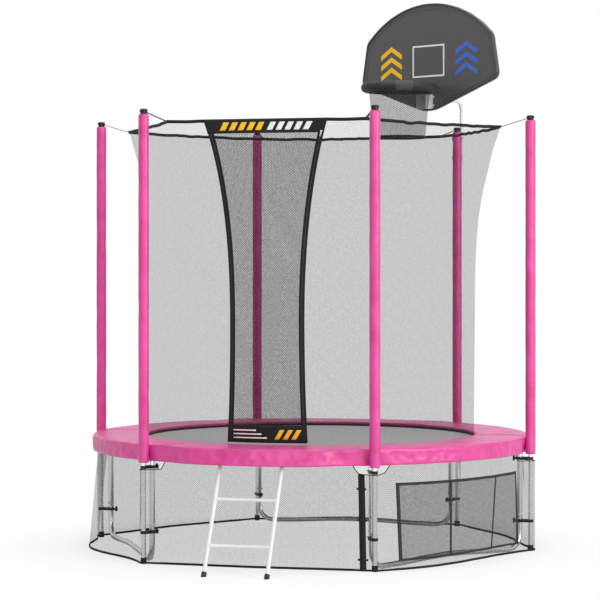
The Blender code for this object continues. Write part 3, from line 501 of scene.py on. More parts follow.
def refined(node, look, body="frame", bevel=0.0006):
    """A smoothed copy of a CAD node with softened edges."""
    name = "look_" + node
    mesh = bpy.data.meshes.new(name)
    with filled(mesh, [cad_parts[node].data]) as work:
        bmesh.ops.remove_doubles(work, verts=work.verts, dist=1e-5)
        flat = math.radians(0.5)
        bmesh.ops.dissolve_limit(work, angle_limit=flat, verts=work.verts, edges=work.edges)
    mesh.materials.clear()
    mesh.shade_smooth()
    mesh.set_sharp_from_angle(angle=SHARP_ANGLE)
    obj = new_piece(name, mesh)
    if bevel:
        bevelled(obj, bevel, 2)
    return dress(obj, look, body, (node,))


# Repeats: one node tree puts an item on every point of a mesh

SEED = 11
STITCH_JITTER = 0.08


def repeat_tree():
    tree = bpy.data.node_groups.new("repeat_on_points", "GeometryNodeTree")
    wanted = {
        "Points": "Geometry",
        "Item": "Object",
        "Look": "Material",
        "Jitter": "Float",
        "Seed": "Int",
    }
    sockets = {}
    for label, kind in wanted.items():
        made = tree.interface.new_socket(label, in_out="INPUT", socket_type="NodeSocket" + kind)
        sockets[label] = made.identifier
    tree.interface.new_socket("Pieces", in_out="OUTPUT", socket_type="NodeSocketGeometry")
    kinds = ("NodeGroupInput", "NodeGroupOutput", "GeometryNodeObjectInfo")
    start, end, item = [tree.nodes.new(kind) for kind in kinds]
    kinds = ("InputNamedAttribute", "InstanceOnPoints", "RotateInstances")
    turn, put, shake = [tree.nodes.new("GeometryNode" + kind) for kind in kinds]
    kinds = ("RealizeInstances", "SetMaterial")
    real, look = [tree.nodes.new("GeometryNode" + kind) for kind in kinds]
    kinds = ("ShaderNodeMath", "FunctionNodeRandomValue", "ShaderNodeCombineXYZ")
    least, chance, spin = [tree.nodes.new(kind) for kind in kinds]
    turn.data_type = "FLOAT_VECTOR"
    turn.inputs["Name"].default_value = "turn"
    least.operation = "MULTIPLY"
    least.inputs[1].default_value = -1
    joins = (
        (start.outputs["Points"], put.inputs["Points"]),
        (start.outputs["Item"], item.inputs["Object"]),
        (item.outputs["Geometry"], put.inputs["Instance"]),
        (turn.outputs["Attribute"], put.inputs["Rotation"]),
        (start.outputs["Jitter"], least.inputs[0]),
        (least.outputs["Value"], chance.inputs[2]),
        (start.outputs["Jitter"], chance.inputs[3]),
        (start.outputs["Seed"], chance.inputs["Seed"]),
        (chance.outputs[1], spin.inputs["Z"]),
        (spin.outputs["Vector"], shake.inputs["Rotation"]),
        (put.outputs["Instances"], shake.inputs["Instances"]),
        (shake.outputs["Instances"], real.inputs["Geometry"]),
        (real.outputs["Geometry"], look.inputs["Geometry"]),
        (start.outputs["Look"], look.inputs["Material"]),
        (look.outputs["Geometry"], end.inputs["Pieces"]),
    )
    for source, target in joins:
        tree.links.new(source, target)
    return tree, sockets


REPEAT, REPEAT_SOCKETS = repeat_tree()


def block(size):
    """A small block with its full size in metres."""
    mesh = bpy.data.meshes.new("block")
    with filled(mesh, []) as work:
        bmesh.ops.create_cube(work, size=1)
        bmesh.ops.scale(work, vec=size, verts=work.verts)
    return new_piece("block", mesh)


def stitch(size):
    """One rounded stitch, lying along X."""
    mesh = bpy.data.meshes.new("stitch")
    with filled(mesh, []) as work:
        bmesh.ops.create_icosphere(work, subdivisions=1, radius=0.5)
        bmesh.ops.scale(work, vec=size, verts=work.verts)
    return new_piece("stitch", mesh)


def rounded_block(centre, turn, size, bevel, segments=3):
    part = bevelled(block(size), bevel, segments)
    part.data.transform(Matrix.Translation(centre) @ turn.to_4x4())
    return part


def facing(ahead, out):
    """Turns an item so that its length runs ahead and its top looks out."""
    ahead = ahead.normalized()
    side = out.cross(ahead).normalized()
    return Matrix((ahead, side, ahead.cross(side))).transposed()


def repeated(name, thing, spots, look, body="frame", jitter=0.0):
    """The thing at every (point, turn), as one plain mesh."""
    mesh = bpy.data.meshes.new(name)
    mesh.from_pydata([point for point, _ in spots], [], [])
    places = mesh.attributes.new("turn", "FLOAT_VECTOR", "POINT")
    for place, (_, turn) in zip(places.data, spots):
        place.vector = turn.to_euler()
    obj = new_piece(name, mesh)
    modifier = obj.modifiers.new("Repeat", "NODES")
    modifier.node_group = REPEAT
    given = {"Item": thing, "Look": look, "Jitter": jitter, "Seed": SEED}
    for label, value in given.items():
        modifier[REPEAT_SOCKETS[label]] = value
    baked(obj)
    bpy.data.objects.remove(thing)
    return dress(obj, look, body)


def along_path(points, pitch, outward=from_axis, closed=False, start=0.5):
    """Evenly spaced (point, turn) spots along a path, with outward giving the way out."""
    route = points + points[:1] if closed else points
    spots = []
    left = pitch * start
    for first, second in zip(route, route[1:]):
        step = second - first
        length = step.length
        while left < length:
            point = first + step * (left / length)
            spots.append((point, facing(step, outward(point))))
            left += pitch
        left -= length
    return spots


# Surfaces of the nets


def net_radius(angle, height):
    rise = clamp((height - MAT_TOP) / (NET_FLARE_HEIGHT - MAT_TOP))
    wall = mix(NET_BOTTOM_RADIUS, NET_WALL_RADIUS, rise)
    half = POLE_TURN / 2
    straight = NET_CORNER_RADIUS * math.cos(half) / math.cos(angle % POLE_TURN - half)
    flare = max((height - NET_FLARE_HEIGHT) / (NET_TOP - NET_FLARE_HEIGHT), 0) ** 2
    return mix(wall, straight, flare)


def door_half_width(height):
    if height < DOOR_WAIST_HEIGHT:
        share = min((DOOR_WAIST_HEIGHT - height) / (DOOR_WAIST_HEIGHT - DOOR_BOTTOM), 1)
        return mix(DOOR_WAIST_HALF, DOOR_BOTTOM_HALF, share**2)
    share = (height - DOOR_WAIST_HEIGHT) / (NET_TOP - DOOR_WAIST_HEIGHT)
    return mix(DOOR_WAIST_HALF, DOOR_TOP_HALF, share**2.2)


def door_half_angle(height, inset=0.0):
    return math.asin((door_half_width(height) - inset) / net_radius(DOOR_ANGLE, height))


def on_net(angle, height, lift=0.0):
    return polar(net_radius(angle, height) + lift, angle, height)


def skirt_point(sector, share, level, lift):
    """A point of the taut skirt: sector from one pole to the next, level 0 at its top edge."""
    amount, peak = SKIRT_BULGES[sector]
    from_pole = min(share, 1 - share)
    wrap = smooth(1 - from_pole / SKIRT_WRAP_SHARE)
    dip = smooth((SKIRT_DIP_SHARE - from_pole) / (SKIRT_DIP_SHARE - SKIRT_WRAP_SHARE))
    straight = SKIRT_WRAP_RADIUS * math.cos(POLE_TURN / 2) / math.cos((share - 0.5) * POLE_TURN)
    bulge = amount * math.sin(math.pi * share ** (math.log(0.5) / math.log(peak))) ** 2
    radius = mix(mix(FRAME_RADIUS, SKIRT_WRAP_RADIUS, wrap), straight + bulge, level)
    height = mix(mix(SKIRT_TOP, SKIRT_DIP_TOP, dip), SKIRT_HEM, level)
    return polar(radius + lift, (sector + share) * POLE_TURN, height)


# Pole sleeves

SLEEVE_LOW, SLEEVE_HIGH = (corner.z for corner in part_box("pole_sleeve_1"))
SLEEVE_RADIUS = 0.0282
SLEEVE_BORE = 0.0130
SLEEVE_SIDES = 30
SLEEVE_STEPS = 189
SLEEVE_HEM_HEIGHT = 0.017


def sleeve_radius(index, turn, height):
    """Round foam under vinyl that has crept into shallow drag folds."""
    across = math.cos(turn) * 0.9 + index * 7.3
    place = Vector((across, math.sin(turn) * 0.9, height * 7 + index * 3.1))
    fold = noise.noise(place) * 0.0015
    slant = math.sin(height * 31 + turn * 2 + index) * noise.noise(place * 0.6) * 0.0013
    end = min(height - SLEEVE_LOW, SLEEVE_HIGH - height)
    hem = -0.0009 * smooth(1 - abs(end - SLEEVE_HEM_HEIGHT) / 0.004)
    return SLEEVE_RADIUS + min(fold + slant, 0.0004) + hem


def build_sleeve(index):
    centre = polar(POLE_CIRCLE, POLE_TURN * (index - 1), 0)
    heights = spread(SLEEVE_LOW, SLEEVE_HIGH, SLEEVE_STEPS)
    ends = []
    for outer, inner in ((heights[0], heights[1]), (heights[-1], heights[-2])):
        ends.append([(outer, 0), (outer, 0.76), (mix(outer, inner, 0.25), 0.93)])
    rings = ends[0] + [(height, 1) for height in heights[1:-1]] + ends[1][::-1]
    rows = []
    for height, share in rings:
        row = []
        for turn in turns(SLEEVE_SIDES):
            radius = mix(SLEEVE_BORE, sleeve_radius(index, turn, height), share)
            row.append(centre + Vector((math.cos(turn) * radius, math.sin(turn) * radius, height)))
        rows.append(row)
    obj = grid(f"sleeve_{index}", rows, close_rows=True, close_columns=True)
    dress(obj, SLEEVE_VINYL, "frame", (f"pole_sleeve_{index}",))


for index in range(1, POLE_COUNT + 1):
    build_sleeve(index)


# Spring pad

PAD_STEPS = 600
PAD_TURNS = turns(PAD_STEPS)
PAD_TOP_STEPS = 18
PAD_LIP = ((0.012, 0.026), (0.004, 0.022), (0.000, 0.013), (0.001, 0.007))
PAD_SEAM_STEP = 7
VALANCE_STEPS = 8
LADDER_HALF = math.radians(15.5)
LADDER_FADE = math.radians(7)
LADDER_BULGE = 0.046
POLE_SHADOW = math.radians(4)
CREASE_WIDTH = 0.013
VINYL_THICKNESS = 0.003
VINYL_SLACK = 0.02
VINYL_REACH = 0.004
CLOTH_STEPS = 15


def ladder_share(angle):
    """1 where the ladder's rails come up behind the valance, fading to 0 beside it."""
    return smooth((LADDER_HALF + LADDER_FADE - from_door(angle)) / LADDER_FADE)


def behind_pole(angle):
    """1 where a pole stands in front of the valance, fading to 0 beside it."""
    away = abs((angle + POLE_TURN / 2) % POLE_TURN - POLE_TURN / 2)
    return smooth(1 - away / POLE_SHADOW)


def pad_crease(angle):
    """Depth of the fold that the vinyl takes between each two springs."""
    turn = angle * SPRING_COUNT / (2 * math.pi) + 0.25 * ring_noise(angle, 5, 31.0)
    away = (turn - round(turn)) * 2 * math.pi / SPRING_COUNT * FRAME_RADIUS
    depth = 0.0016 + 0.0022 * abs(ring_noise(angle, 9, 44.0))
    return depth * math.exp(-((away / CREASE_WIDTH) ** 2))


def pad_section(angle):
    """(radius, height) pairs across the pad: inner lip, top, rolled edge and valance."""
    bulge = LADDER_BULGE * ladder_share(angle)
    edge = PAD_OUTER + bulge / 2
    crease = pad_crease(angle)
    inner = PAD_INNER + 0.003 * ring_noise(angle, 7, 1.7)
    points = [(inner + back, PAD_TOP - drop) for back, drop in PAD_LIP]
    for step in range(1, PAD_TOP_STEPS):
        share = step / PAD_TOP_STEPS
        dent = 0.0030 * ring_noise(angle, 8, share * 4)
        ridge = 0.0022 * abs(ring_noise(angle, 3.5, share * 13 + 20))
        crown = 0.004 * (1 - share) ** 3 + 0.004 * share**5
        groove = crease * smooth(share * 5) * smooth((1 - share) * 5)
        height = PAD_TOP - crown - ridge - groove + min(dent, 0.0005)
        points.append((mix(inner, edge, share), height))
    points += [(edge - 0.004, PAD_TOP - 0.006), (edge - 0.001, PAD_TOP - 0.011)]
    wave = 0.0055 * ring_noise(angle, 11, 3.0)
    pressed = behind_pole(angle)
    sag = 0.0020 * ring_noise(angle, 9, 8.0)
    for step in range(1, VALANCE_STEPS + 1):
        share = step / VALANCE_STEPS
        give = (wave + 0.0022 * ring_noise(angle, 30, share * 1.5 + 5)) * smooth(share)
        give = mix(give, min(give, 0) - 0.003 * smooth(share), pressed)
        radius = edge - 0.001 + bulge / 2 * share + give
        points.append((radius, mix(PAD_TOP - 0.014, VALANCE_BOTTOM + 0.001 + sag, share)))
    return points


PAD_SECTIONS = [pad_section(angle) for angle in PAD_TURNS]


def pad_point(step, slot, lift=0.0):
    radius, height = PAD_SECTIONS[step][slot]
    return polar(radius + lift, PAD_TURNS[step], height)


def settled(obj, held):
    """A short cloth run in which slack vinyl buckles between the points that hold it."""
    start = [vert.co.copy() for vert in obj.data.vertices]
    obj.vertex_groups.new(name="held").add(held, 1.0, "REPLACE")
    cloth = obj.modifiers.new("Cloth", "CLOTH")
    cloth.collision_settings.use_collision = False
    cloth.point_cache.frame_start = 1
    cloth.point_cache.frame_end = CLOTH_STEPS
    settings = cloth.settings
    settings.vertex_group_mass = "held"
    settings.mass = 0.4
    settings.tension_stiffness = 30
    settings.compression_stiffness = 30
    settings.shear_stiffness = 10
    settings.bending_stiffness = 0.6
    settings.shrink_min = -VINYL_SLACK
    settings.shrink_max = -VINYL_SLACK
    settings.use_pressure = True
    settings.uniform_pressure_force = 3
    settings.effector_weights.gravity = 0
    for step in range(1, CLOTH_STEPS + 1):
        bpy.context.scene.frame_set(step)
    baked(obj)
    bpy.context.scene.frame_set(1)
    obj.vertex_groups.clear()
    for vert, place in zip(obj.data.vertices, start):
        move = vert.co - place
        vert.co = place + move * (VINYL_REACH / max(move.length, VINYL_REACH))
    return obj


def build_pad():
    width = len(PAD_SECTIONS[0])
    rows = [[pad_point(i, -1 - j) for j in range(width)] for i in range(PAD_STEPS)]
    sewn = {0, 1, VALANCE_STEPS, *range(width - len(PAD_LIP), width)}
    panel = PAD_STEPS // POLE_COUNT
    held = []
    for i in range(PAD_STEPS):
        on_seam = i % panel == PAD_SEAM_STEP
        held += [i * width + j for j in range(width) if on_seam or j in sewn]
    obj = thicken(settled(grid("spring_pad", rows, close_rows=True), held), VINYL_THICKNESS, -1.0)
    dress(obj, PAD_VINYL, "frame", ("pad",))
    edge = [pad_point(i, -VALANCE_STEPS - 1, -0.0005) for i in range(PAD_STEPS)]
    dress(tube("pad_piping", edge, PIPING_RADIUS, 8, closed=True), PAD_VINYL)
    seams = []
    for i in range(PAD_SEAM_STEP, PAD_STEPS, panel):
        line = [pad_point(i, slot, 0.0004) for slot in range(2, width)]
        seams.append(tube("seam", line, SEAM_RADIUS, 6))
    dress(joined("pad_seams", seams), PAD_VINYL)
    hem = along_path([pad_point(i, -2, 0.0004) for i in range(PAD_STEPS)], 0.011, closed=True)
    thread = stitch((0.006, 0.0009, 0.0007))
    repeated("pad_hem_stitches", thread, hem, PALE_THREAD, jitter=STITCH_JITTER)


build_pad()


# Enclosure net and its door

NET_STEPS = 216
NET_TURNS = turns(NET_STEPS)
NET_LEVELS = 40
SAG_FADE = math.radians(8)
DOOR_COLUMNS = 40
SILL_HEIGHTS = (NET_FOOT, 0.630, DOOR_BOTTOM - 0.001)
ZIP_WIDTH = 0.015
ZIP_LIFT = 0.0022
ZIP_GAP = 0.0008
ZIP_BODIES = {1: "frame", -1: "door"}
TOOTH_REACH = 0.0012
TOOTH_PITCH = 0.006
SLIDER_SIZE = (0.012, 0.010, 0.006)
PULL_SIZE = (0.026, 0.008, 0.0012)
BANNER_COLUMNS = 48
BANNER_LEVELS = 6
BANNER_MARGIN = 0.014
BANNER_LIFT = 0.0066
BANNER_THICKNESS = 0.0014
PRINT_LIFT = BANNER_LIFT + BANNER_THICKNESS
PRINT_THICKNESS = 0.0006
PRINT_COLUMNS = 6
PRINT_LEVELS = 4


def top_sag(angle):
    """How far the soft top band hangs between the straps, beside the door's banner."""
    share = angle / POLE_TURN % 1
    wave = abs(ring_noise(angle, 9, 6.5))
    free = smooth((from_door(angle) - door_half_angle(NET_TOP)) / SAG_FADE)
    return (0.004 + 0.014 * wave) * math.sin(math.pi * share) ** 0.7 * free


def net_ripple(angle, height):
    """Slack of the net between its fixed edges."""
    slack = 1 - (2 * clamp((height - MAT_TOP) / (NET_TOP - MAT_TOP)) - 1) ** 4
    return 0.005 * slack * ring_noise(angle, 6, height * 1.5)


def follows_mat(obj, look):
    """Net that is sewn to the mat: it gets its look and no body, and its place is put into its
    mesh.
    """
    dress(obj, look, None)
    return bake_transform(obj)


def opens(obj, look):
    """Door cloth, zipped at its right edge: it gets its look and no body, and its place is put into
    its mesh.
    """
    dress(obj, look, None)
    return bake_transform(obj)


def build_net():
    rows = []
    for i, height in enumerate(spread(NET_FOOT, NET_TOP, NET_LEVELS)):
        half = door_half_angle(max(height, DOOR_BOTTOM))
        row = []
        for angle in spread(DOOR_ANGLE + half, DOOR_ANGLE + 2 * math.pi - half, NET_STEPS):
            point = on_net(angle, height, net_ripple(angle, height))
            point.z -= top_sag(angle) * (i / NET_LEVELS) ** 8
            row.append(point)
        rows.append(row)
    obj = follows_mat(grid("net_wall", rows), NETTING)
    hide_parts("enclosure_net")
    return obj


def door_row(height, inset=0.0):
    half = door_half_angle(height, inset)
    return [on_net(DOOR_ANGLE + turn, height) for turn in spread(-half, half, DOOR_COLUMNS)]


def build_flap():
    rows = [door_row(height, 0.001) for height in spread(DOOR_BOTTOM, DOOR_TOP, NET_LEVELS)]
    obj = opens(grid("door_net", rows), DOOR_NETTING)
    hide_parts("door_flap")
    return obj


def build_net_bands():
    """The net's sill under the door, its top band and the band sewn to the mat."""
    sill = follows_mat(grid("net_sill", [door_row(height) for height in SILL_HEIGHTS]), NETTING)
    edges = (NET_TOP - NET_BAND, NET_TOP, MAT_TOP + 0.001, MAT_TOP + 0.010)
    rows = [[on_net(angle, height, EDGE_LIFT) for angle in NET_TURNS] for height in edges]
    for row in rows[:2]:
        for point, angle in zip(row, NET_TURNS):
            point.z -= top_sag(angle)
    top = dress(band("net_top_band", rows[:2], WEBBING_THICKNESS, close_columns=True), WEBBING)
    foot = band("net_foot_band", rows[2:], TAPE_THICKNESS, close_columns=True)
    return [sill, top, follows_mat(foot, WEBBING)]


def zip_line(side, shift, lift):
    """A line up one edge of the door, shifted away from the flap in metres."""
    line = []
    for height in spread(DOOR_BOTTOM, DOOR_TOP, 4 * NET_LEVELS):
        angle = door_half_angle(height) + shift / net_radius(DOOR_ANGLE, height)
        line.append(on_net(DOOR_ANGLE + side * angle, height, lift))
    return line


def build_zip_half(word, side, inner):
    """Tape and teeth along one edge of the door; the inner ones are the flap's."""
    where = "flap" if inner else "net"
    reach = (-ZIP_WIDTH, -ZIP_GAP) if inner else (ZIP_GAP, ZIP_WIDTH)
    lines = [zip_line(side, shift, ZIP_LIFT) for shift in spread(*reach, 2)]
    rows = [list(row) for row in zip(*lines[::side])]
    tape = band(f"zip_{word}_{where}", rows, TAPE_THICKNESS)
    tape = dress(tape, WEBBING, ZIP_BODIES[side]) if inner else follows_mat(tape, WEBBING)
    line = zip_line(side, -TOOTH_REACH if inner else TOOTH_REACH, ZIP_LIFT + 0.0012)
    spots = along_path(line, TOOTH_PITCH, start=0.5 if inner else 1.0)
    tooth = block((0.0032, 0.0038, 0.0018))
    body = ZIP_BODIES[side] if inner else None
    teeth = repeated(f"zip_teeth_{word}_{where}", tooth, spots, ZIP_COIL, body)
    return [tape, teeth if inner else follows_mat(teeth, ZIP_COIL)]


def build_slider():
    """Zip slider with its pull at the head of the zip on the seam side."""
    low, head, high = zip_line(1, 0, ZIP_LIFT + 0.0035)[-7:-4]
    out = from_axis(head)
    turn = facing(high - low, out)
    hung = head + (low - high).normalized() * 0.016 + out * 0.003
    body = rounded_block(head, turn, SLIDER_SIZE, 0.0005, 1)
    pull = rounded_block(hung, turn, PULL_SIZE, 0.0005, 1)
    dress(joined("zip_slider", [body, pull]), ZIP_METAL)


def build_banner(name, low, high):
    rows = []
    for height in spread(low, high, BANNER_LEVELS):
        limit = door_half_angle(height, -BANNER_MARGIN)
        row = []
        for share in spread(0, 1, BANNER_COLUMNS):
            lift = BANNER_LIFT + 0.0008 * noise.noise(Vector((share * 13, height * 30, 2.5)))
            row.append(on_net(DOOR_ANGLE + mix(-limit, limit, share), height, lift))
        rows.append(row)
    cloth = opens(band(name, rows, BANNER_THICKNESS), WEBBING)
    spots = []
    for row, inward in ((rows[0], 0.004), (rows[-1], -0.004)):
        line = [point + UP * inward + from_axis(point) * 0.001 for point in row[2:-2]]
        spots += along_path(line, 0.007)
    thread = stitch((0.004, 0.0008, 0.0006))
    stitches = repeated(name + "_stitches", thread, spots, THREAD, None, STITCH_JITTER)
    return [cloth, opens(stitches, THREAD)]


def net_print(name, look, shapes):
    """Flat slanted bars printed on a banner; each is (start, end, low, high, slant)."""
    bars = []
    for start, end, low, high, slant in shapes:
        rows = []
        for share in spread(0, 1, PRINT_LEVELS):
            height = mix(low, high, share)
            lean = slant * (share - 0.5)
            reach = net_radius(DOOR_ANGLE, height)
            turned_by = [(along + lean) / reach for along in spread(start, end, PRINT_COLUMNS)]
            rows.append([on_net(DOOR_ANGLE + turn, height, PRINT_LIFT) for turn in turned_by])
        bars.append(band("bar", rows, PRINT_THICKNESS))
    return opens(joined(name, bars), look)


def slanted_bars(count, first, pitch, width, low, high, slant):
    return [(first + pitch * k, first + width + pitch * k, low, high, slant) for k in range(count)]


net_wall = build_net()
door_net = build_flap()
net_pieces = build_net_bands()
door_pieces = []
for word, side in (("right", 1), ("left", -1)):
    door_pieces += build_zip_half(word, side, True)
    net_pieces += build_zip_half(word, side, False)
build_slider()
door_pieces += build_banner("banner_top", 2.285, 2.360)
door_pieces += build_banner("banner_low", 0.6415, 0.735)
for name, look, shapes in (
    ("banner_top_yellow", PRINT_YELLOW, slanted_bars(5, -0.235, 0.048, 0.030, 2.301, 2.344, 0.022)),
    ("banner_top_white", PRINT_WHITE, slanted_bars(5, 0.020, 0.048, 0.030, 2.301, 2.344, 0.022)),
    ("banner_low_yellow", PRINT_YELLOW, slanted_bars(3, 0.060, 0.045, 0.025, 0.660, 0.712, 0.030)),
    (
        "banner_low_white",
        PRINT_WHITE,
        [(-0.185, 0.005 - 0.03 * k, 0.664 + 0.020 * k, 0.671 + 0.020 * k, 0.0) for k in range(3)],
    ),
):
    door_pieces.append(net_print(name, look, shapes))


# Ground skirt

SKIRT_COLUMNS = 72
SKIRT_LEVELS = 28
SKIRT_HEM_LEVELS = (1.0, 0.979)
SEAM_SECTOR = 4
SEAM_SHARE = 0.9535
SEAM_HALF = 0.0118
TOGGLE_HEIGHTS = (0.425, 0.264, 0.062)
TOGGLE_LIFT = 0.006
TOGGLE_SIZE = (0.058, 0.011, 0.008)
EYE_LIFT = 0.004
EYE_SIZE = (0.016, 0.018, 0.004)
POCKET_LIFT = 0.0036
POCKET_DIVIDERS = (0.350, 0.740)
POCKET_COLUMNS = 60
POCKET_LEVELS = 18


def skirt_place(sector, share, level, lift=0.0):
    """The skirt with the soft folds of hanging net."""
    angle = (sector + share) * POLE_TURN
    wide = ring_noise(angle, 16, level * 0.7)
    fine = ring_noise(angle, 45, level * 1.2 + 9)
    slack = (0.0045 * wide + 0.0012 * fine) * smooth(level / 0.3)
    return skirt_point(sector, share, level, lift + min(slack, 0.002))


def skirt_line(level, lift=0.0):
    """A line right round the skirt at one level."""
    return [
        skirt_place(sector, j / SKIRT_COLUMNS, level, lift)
        for sector in range(POLE_COUNT)
        for j in range(SKIRT_COLUMNS)
    ]


def build_skirt():
    rows = [skirt_line(level) for level in spread(1, 0, SKIRT_LEVELS)]
    obj = grid("skirt", rows, close_columns=True)
    return dress(obj, SKIRT_NETTING, "frame", ("skirt_net",))


def build_skirt_edges():
    rows = [skirt_line(level, EDGE_LIFT) for level in SKIRT_HEM_LEVELS]
    hem = band("skirt_hem", rows, WEBBING_THICKNESS, close_columns=True)
    cord = tube("skirt_cord", skirt_line(0.002, 0.0015), 0.0024, 7, closed=True)
    return [dress(hem, WEBBING), dress(cord, CORD)]


def build_seam():
    """Closing seam of the skirt beside a pole, with its three toggles."""
    shares = [SEAM_SHARE + SEAM_HALF * side for side in (-1, 0, 1)]
    rows = []
    for level in spread(1, 0, SKIRT_LEVELS):
        rows.append([skirt_place(SEAM_SECTOR, share, level, 0.002) for share in shares])
    toggles = []
    for height in TOGGLE_HEIGHTS:
        level = (SKIRT_DIP_TOP - height) / (SKIRT_DIP_TOP - SKIRT_HEM)
        middle = skirt_place(SEAM_SECTOR, SEAM_SHARE, level, TOGGLE_LIFT)
        beside = skirt_place(SEAM_SECTOR, SEAM_SHARE + 0.01, level, TOGGLE_LIFT)
        out = from_axis(middle)
        turn = facing(beside - middle, out)
        toggles.append(rounded_block(middle, turn, TOGGLE_SIZE, 0.003))
        toggles.append(rounded_block(middle + out * EYE_LIFT, turn, EYE_SIZE, 0.0015))
    return [
        dress(band("skirt_seam", rows, TAPE_THICKNESS), WEBBING),
        dress(joined("skirt_toggles", toggles), BLACK_PLASTIC),
    ]


def pocket_place(share, height, lift):
    across = mix(*POCKET_SHARES, share)
    return skirt_place(POCKET_SECTOR, across, (SKIRT_TOP - height) / (SKIRT_TOP - SKIRT_HEM), lift)


def pocket_slack(share, height):
    """Each pocket bellies out a little below its open top."""
    rise = math.sin(math.pi * (height - POCKET_LOW) / (POCKET_HIGH - POCKET_LOW))
    edges = (0.0, *POCKET_DIVIDERS, 1.0)
    for start, end in zip(edges, edges[1:]):
        if start <= share <= end:
            return 0.007 * math.sin(math.pi * (share - start) / (end - start)) * rise
    return 0.0


def pocket_patch(name, lift, across, upward, columns, levels):
    rows = []
    for height in spread(*upward, levels):
        row = []
        for share in spread(*across, columns):
            row.append(pocket_place(share, height, lift + pocket_slack(share, height)))
        rows.append(row)
    return grid(name, rows)


def build_pocket():
    full = (POCKET_LOW, POCKET_HIGH)
    panel = pocket_patch("pocket", POCKET_LIFT, (0, 1), full, POCKET_COLUMNS, POCKET_LEVELS)
    dress(panel, POCKET_NETTING, "frame", ("skirt_pocket",))
    lying = (POCKET_COLUMNS, 2)
    upright = (2, POCKET_LEVELS)
    strips = [
        ("top", (0, 1), (POCKET_HIGH - 0.015, POCKET_HIGH), lying),
        ("low", (0, 1), (POCKET_LOW, POCKET_LOW + 0.012), lying),
        ("left", (0, 0.020), full, upright),
        ("right", (0.978, 1), full, upright),
    ]
    for word, middle in zip(("first", "second"), POCKET_DIVIDERS):
        strips.append((word, (middle - 0.007, middle + 0.007), full, upright))
    pieces = []
    for word, across, upward, steps in strips:
        strip = pocket_patch(f"pocket_{word}", POCKET_LIFT + 0.0012, across, upward, *steps)
        pieces.append(dress(thicken(strip, BINDING_THICKNESS), BINDING))
    spots = []
    for height in (POCKET_HIGH - 0.012, POCKET_LOW + 0.008):
        shares = spread(0, 1, POCKET_COLUMNS)
        line = [pocket_place(share, height, POCKET_LIFT + 0.003) for share in shares]
        spots += along_path(line, 0.009)
    thread = stitch((0.005, 0.0009, 0.0007))
    pieces.append(repeated("pocket_stitches", thread, spots, THREAD, jitter=STITCH_JITTER))
    return panel, pieces


skirt = build_skirt()
skirt_pieces = build_skirt_edges() + build_seam()
pocket, pocket_pieces = build_pocket()


# Mat and springs

MAT_SIDES = 192
MAT_RINGS = 12
HEM_WIDTH = 0.036
RING_CORNERS = (Vector((0.000, -0.017, 0)), Vector((0.000, 0.017, 0)), Vector((0.024, 0, 0)))
SPRING_OUTER = 1.178
SPRING_INNER = 1.006
SPRING_ANGLES = [2 * math.pi * (index + 0.5) / SPRING_COUNT for index in range(SPRING_COUNT)]
COIL_RADIUS = 0.009
COIL_WIRE = 0.0016
COIL_TURNS = 22
COIL_POINTS = 9
COIL_REACH = (0.10, 0.86)


def circle(radius, height):
    return [polar(radius, turn, height) for turn in turns(MAT_SIDES)]


def disc(name, inner, height, rings):
    """A flat ring of the mat, from its edge inwards."""
    rows = [circle(radius, height) for radius in spread(MAT_RADIUS, inner, rings)]
    return grid(name, rows, close_columns=True)


def build_mat():
    cloth = disc("mat_cloth", 0, MAT_TOP - 0.0015, MAT_RINGS)
    with filled(cloth.data, [cloth.data]) as work:
        bmesh.ops.remove_doubles(work, verts=work.verts, dist=1e-6)
    dress(cloth, MAT_WEAVE, "bed", ("mat",))
    hem = disc("mat_hem", MAT_RADIUS - HEM_WIDTH, MAT_TOP - 0.0003, 2)
    pieces = [dress(thicken(hem, 0.0016), WEBBING, "bed")]
    spots = []
    for radius in (MAT_RADIUS - 0.006, MAT_RADIUS - HEM_WIDTH + 0.005):
        spots += along_path(circle(radius, MAT_TOP + 0.0006), 0.012, lambda point: UP, True)
    thread = stitch((0.007, 0.001, 0.0008))
    pieces.append(repeated("mat_stitches", thread, spots, THREAD, "bed", STITCH_JITTER))
    route = []
    for first, second in zip(RING_CORNERS, RING_CORNERS[1:] + RING_CORNERS[:1]):
        route += [first.lerp(second, share) for share in (0.15, 0.5, 0.85)]
    ring = tube("ring", route, 0.0018, 6, closed=True)
    spots = []
    for angle in SPRING_ANGLES:
        spot = polar(MAT_RADIUS - 0.004, angle, MAT_TOP - 0.003)
        spots.append((spot, facing(from_axis(spot), UP)))
    pieces.append(repeated("mat_rings", ring, spots, BRIGHT_STEEL, "bed"))
    return cloth, pieces


def build_spring(number, angle):
    """Close coil with a hook at each end, from the mat's ring to the frame tube."""
    start = polar(SPRING_INNER, angle, MAT_TOP - 0.004)
    end = polar(SPRING_OUTER, angle, FRAME_HEIGHT)
    side = Vector((-math.sin(angle), math.cos(angle), 0))
    up = (end - start).cross(side).normalized()
    path = [start]
    for i, share in enumerate(spread(0, 1, COIL_TURNS * COIL_POINTS)):
        turn = 2 * math.pi * i / COIL_POINTS
        reach = COIL_RADIUS * smooth(min(share, 1 - share) * 9)
        centre = start + (end - start) * mix(*COIL_REACH, share)
        path.append(centre + (side * math.cos(turn) + up * math.sin(turn)) * reach)
    path.append(end)
    obj = dress(tube(f"spring_{number:02d}", path, COIL_WIRE, 5), SPRING_STEEL, None)
    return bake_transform(obj)


mat_cloth, mat_pieces = build_mat()
springs = [build_spring(number, angle) for number, angle in enumerate(SPRING_ANGLES, 1)]
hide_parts("springs")


# Hoop set

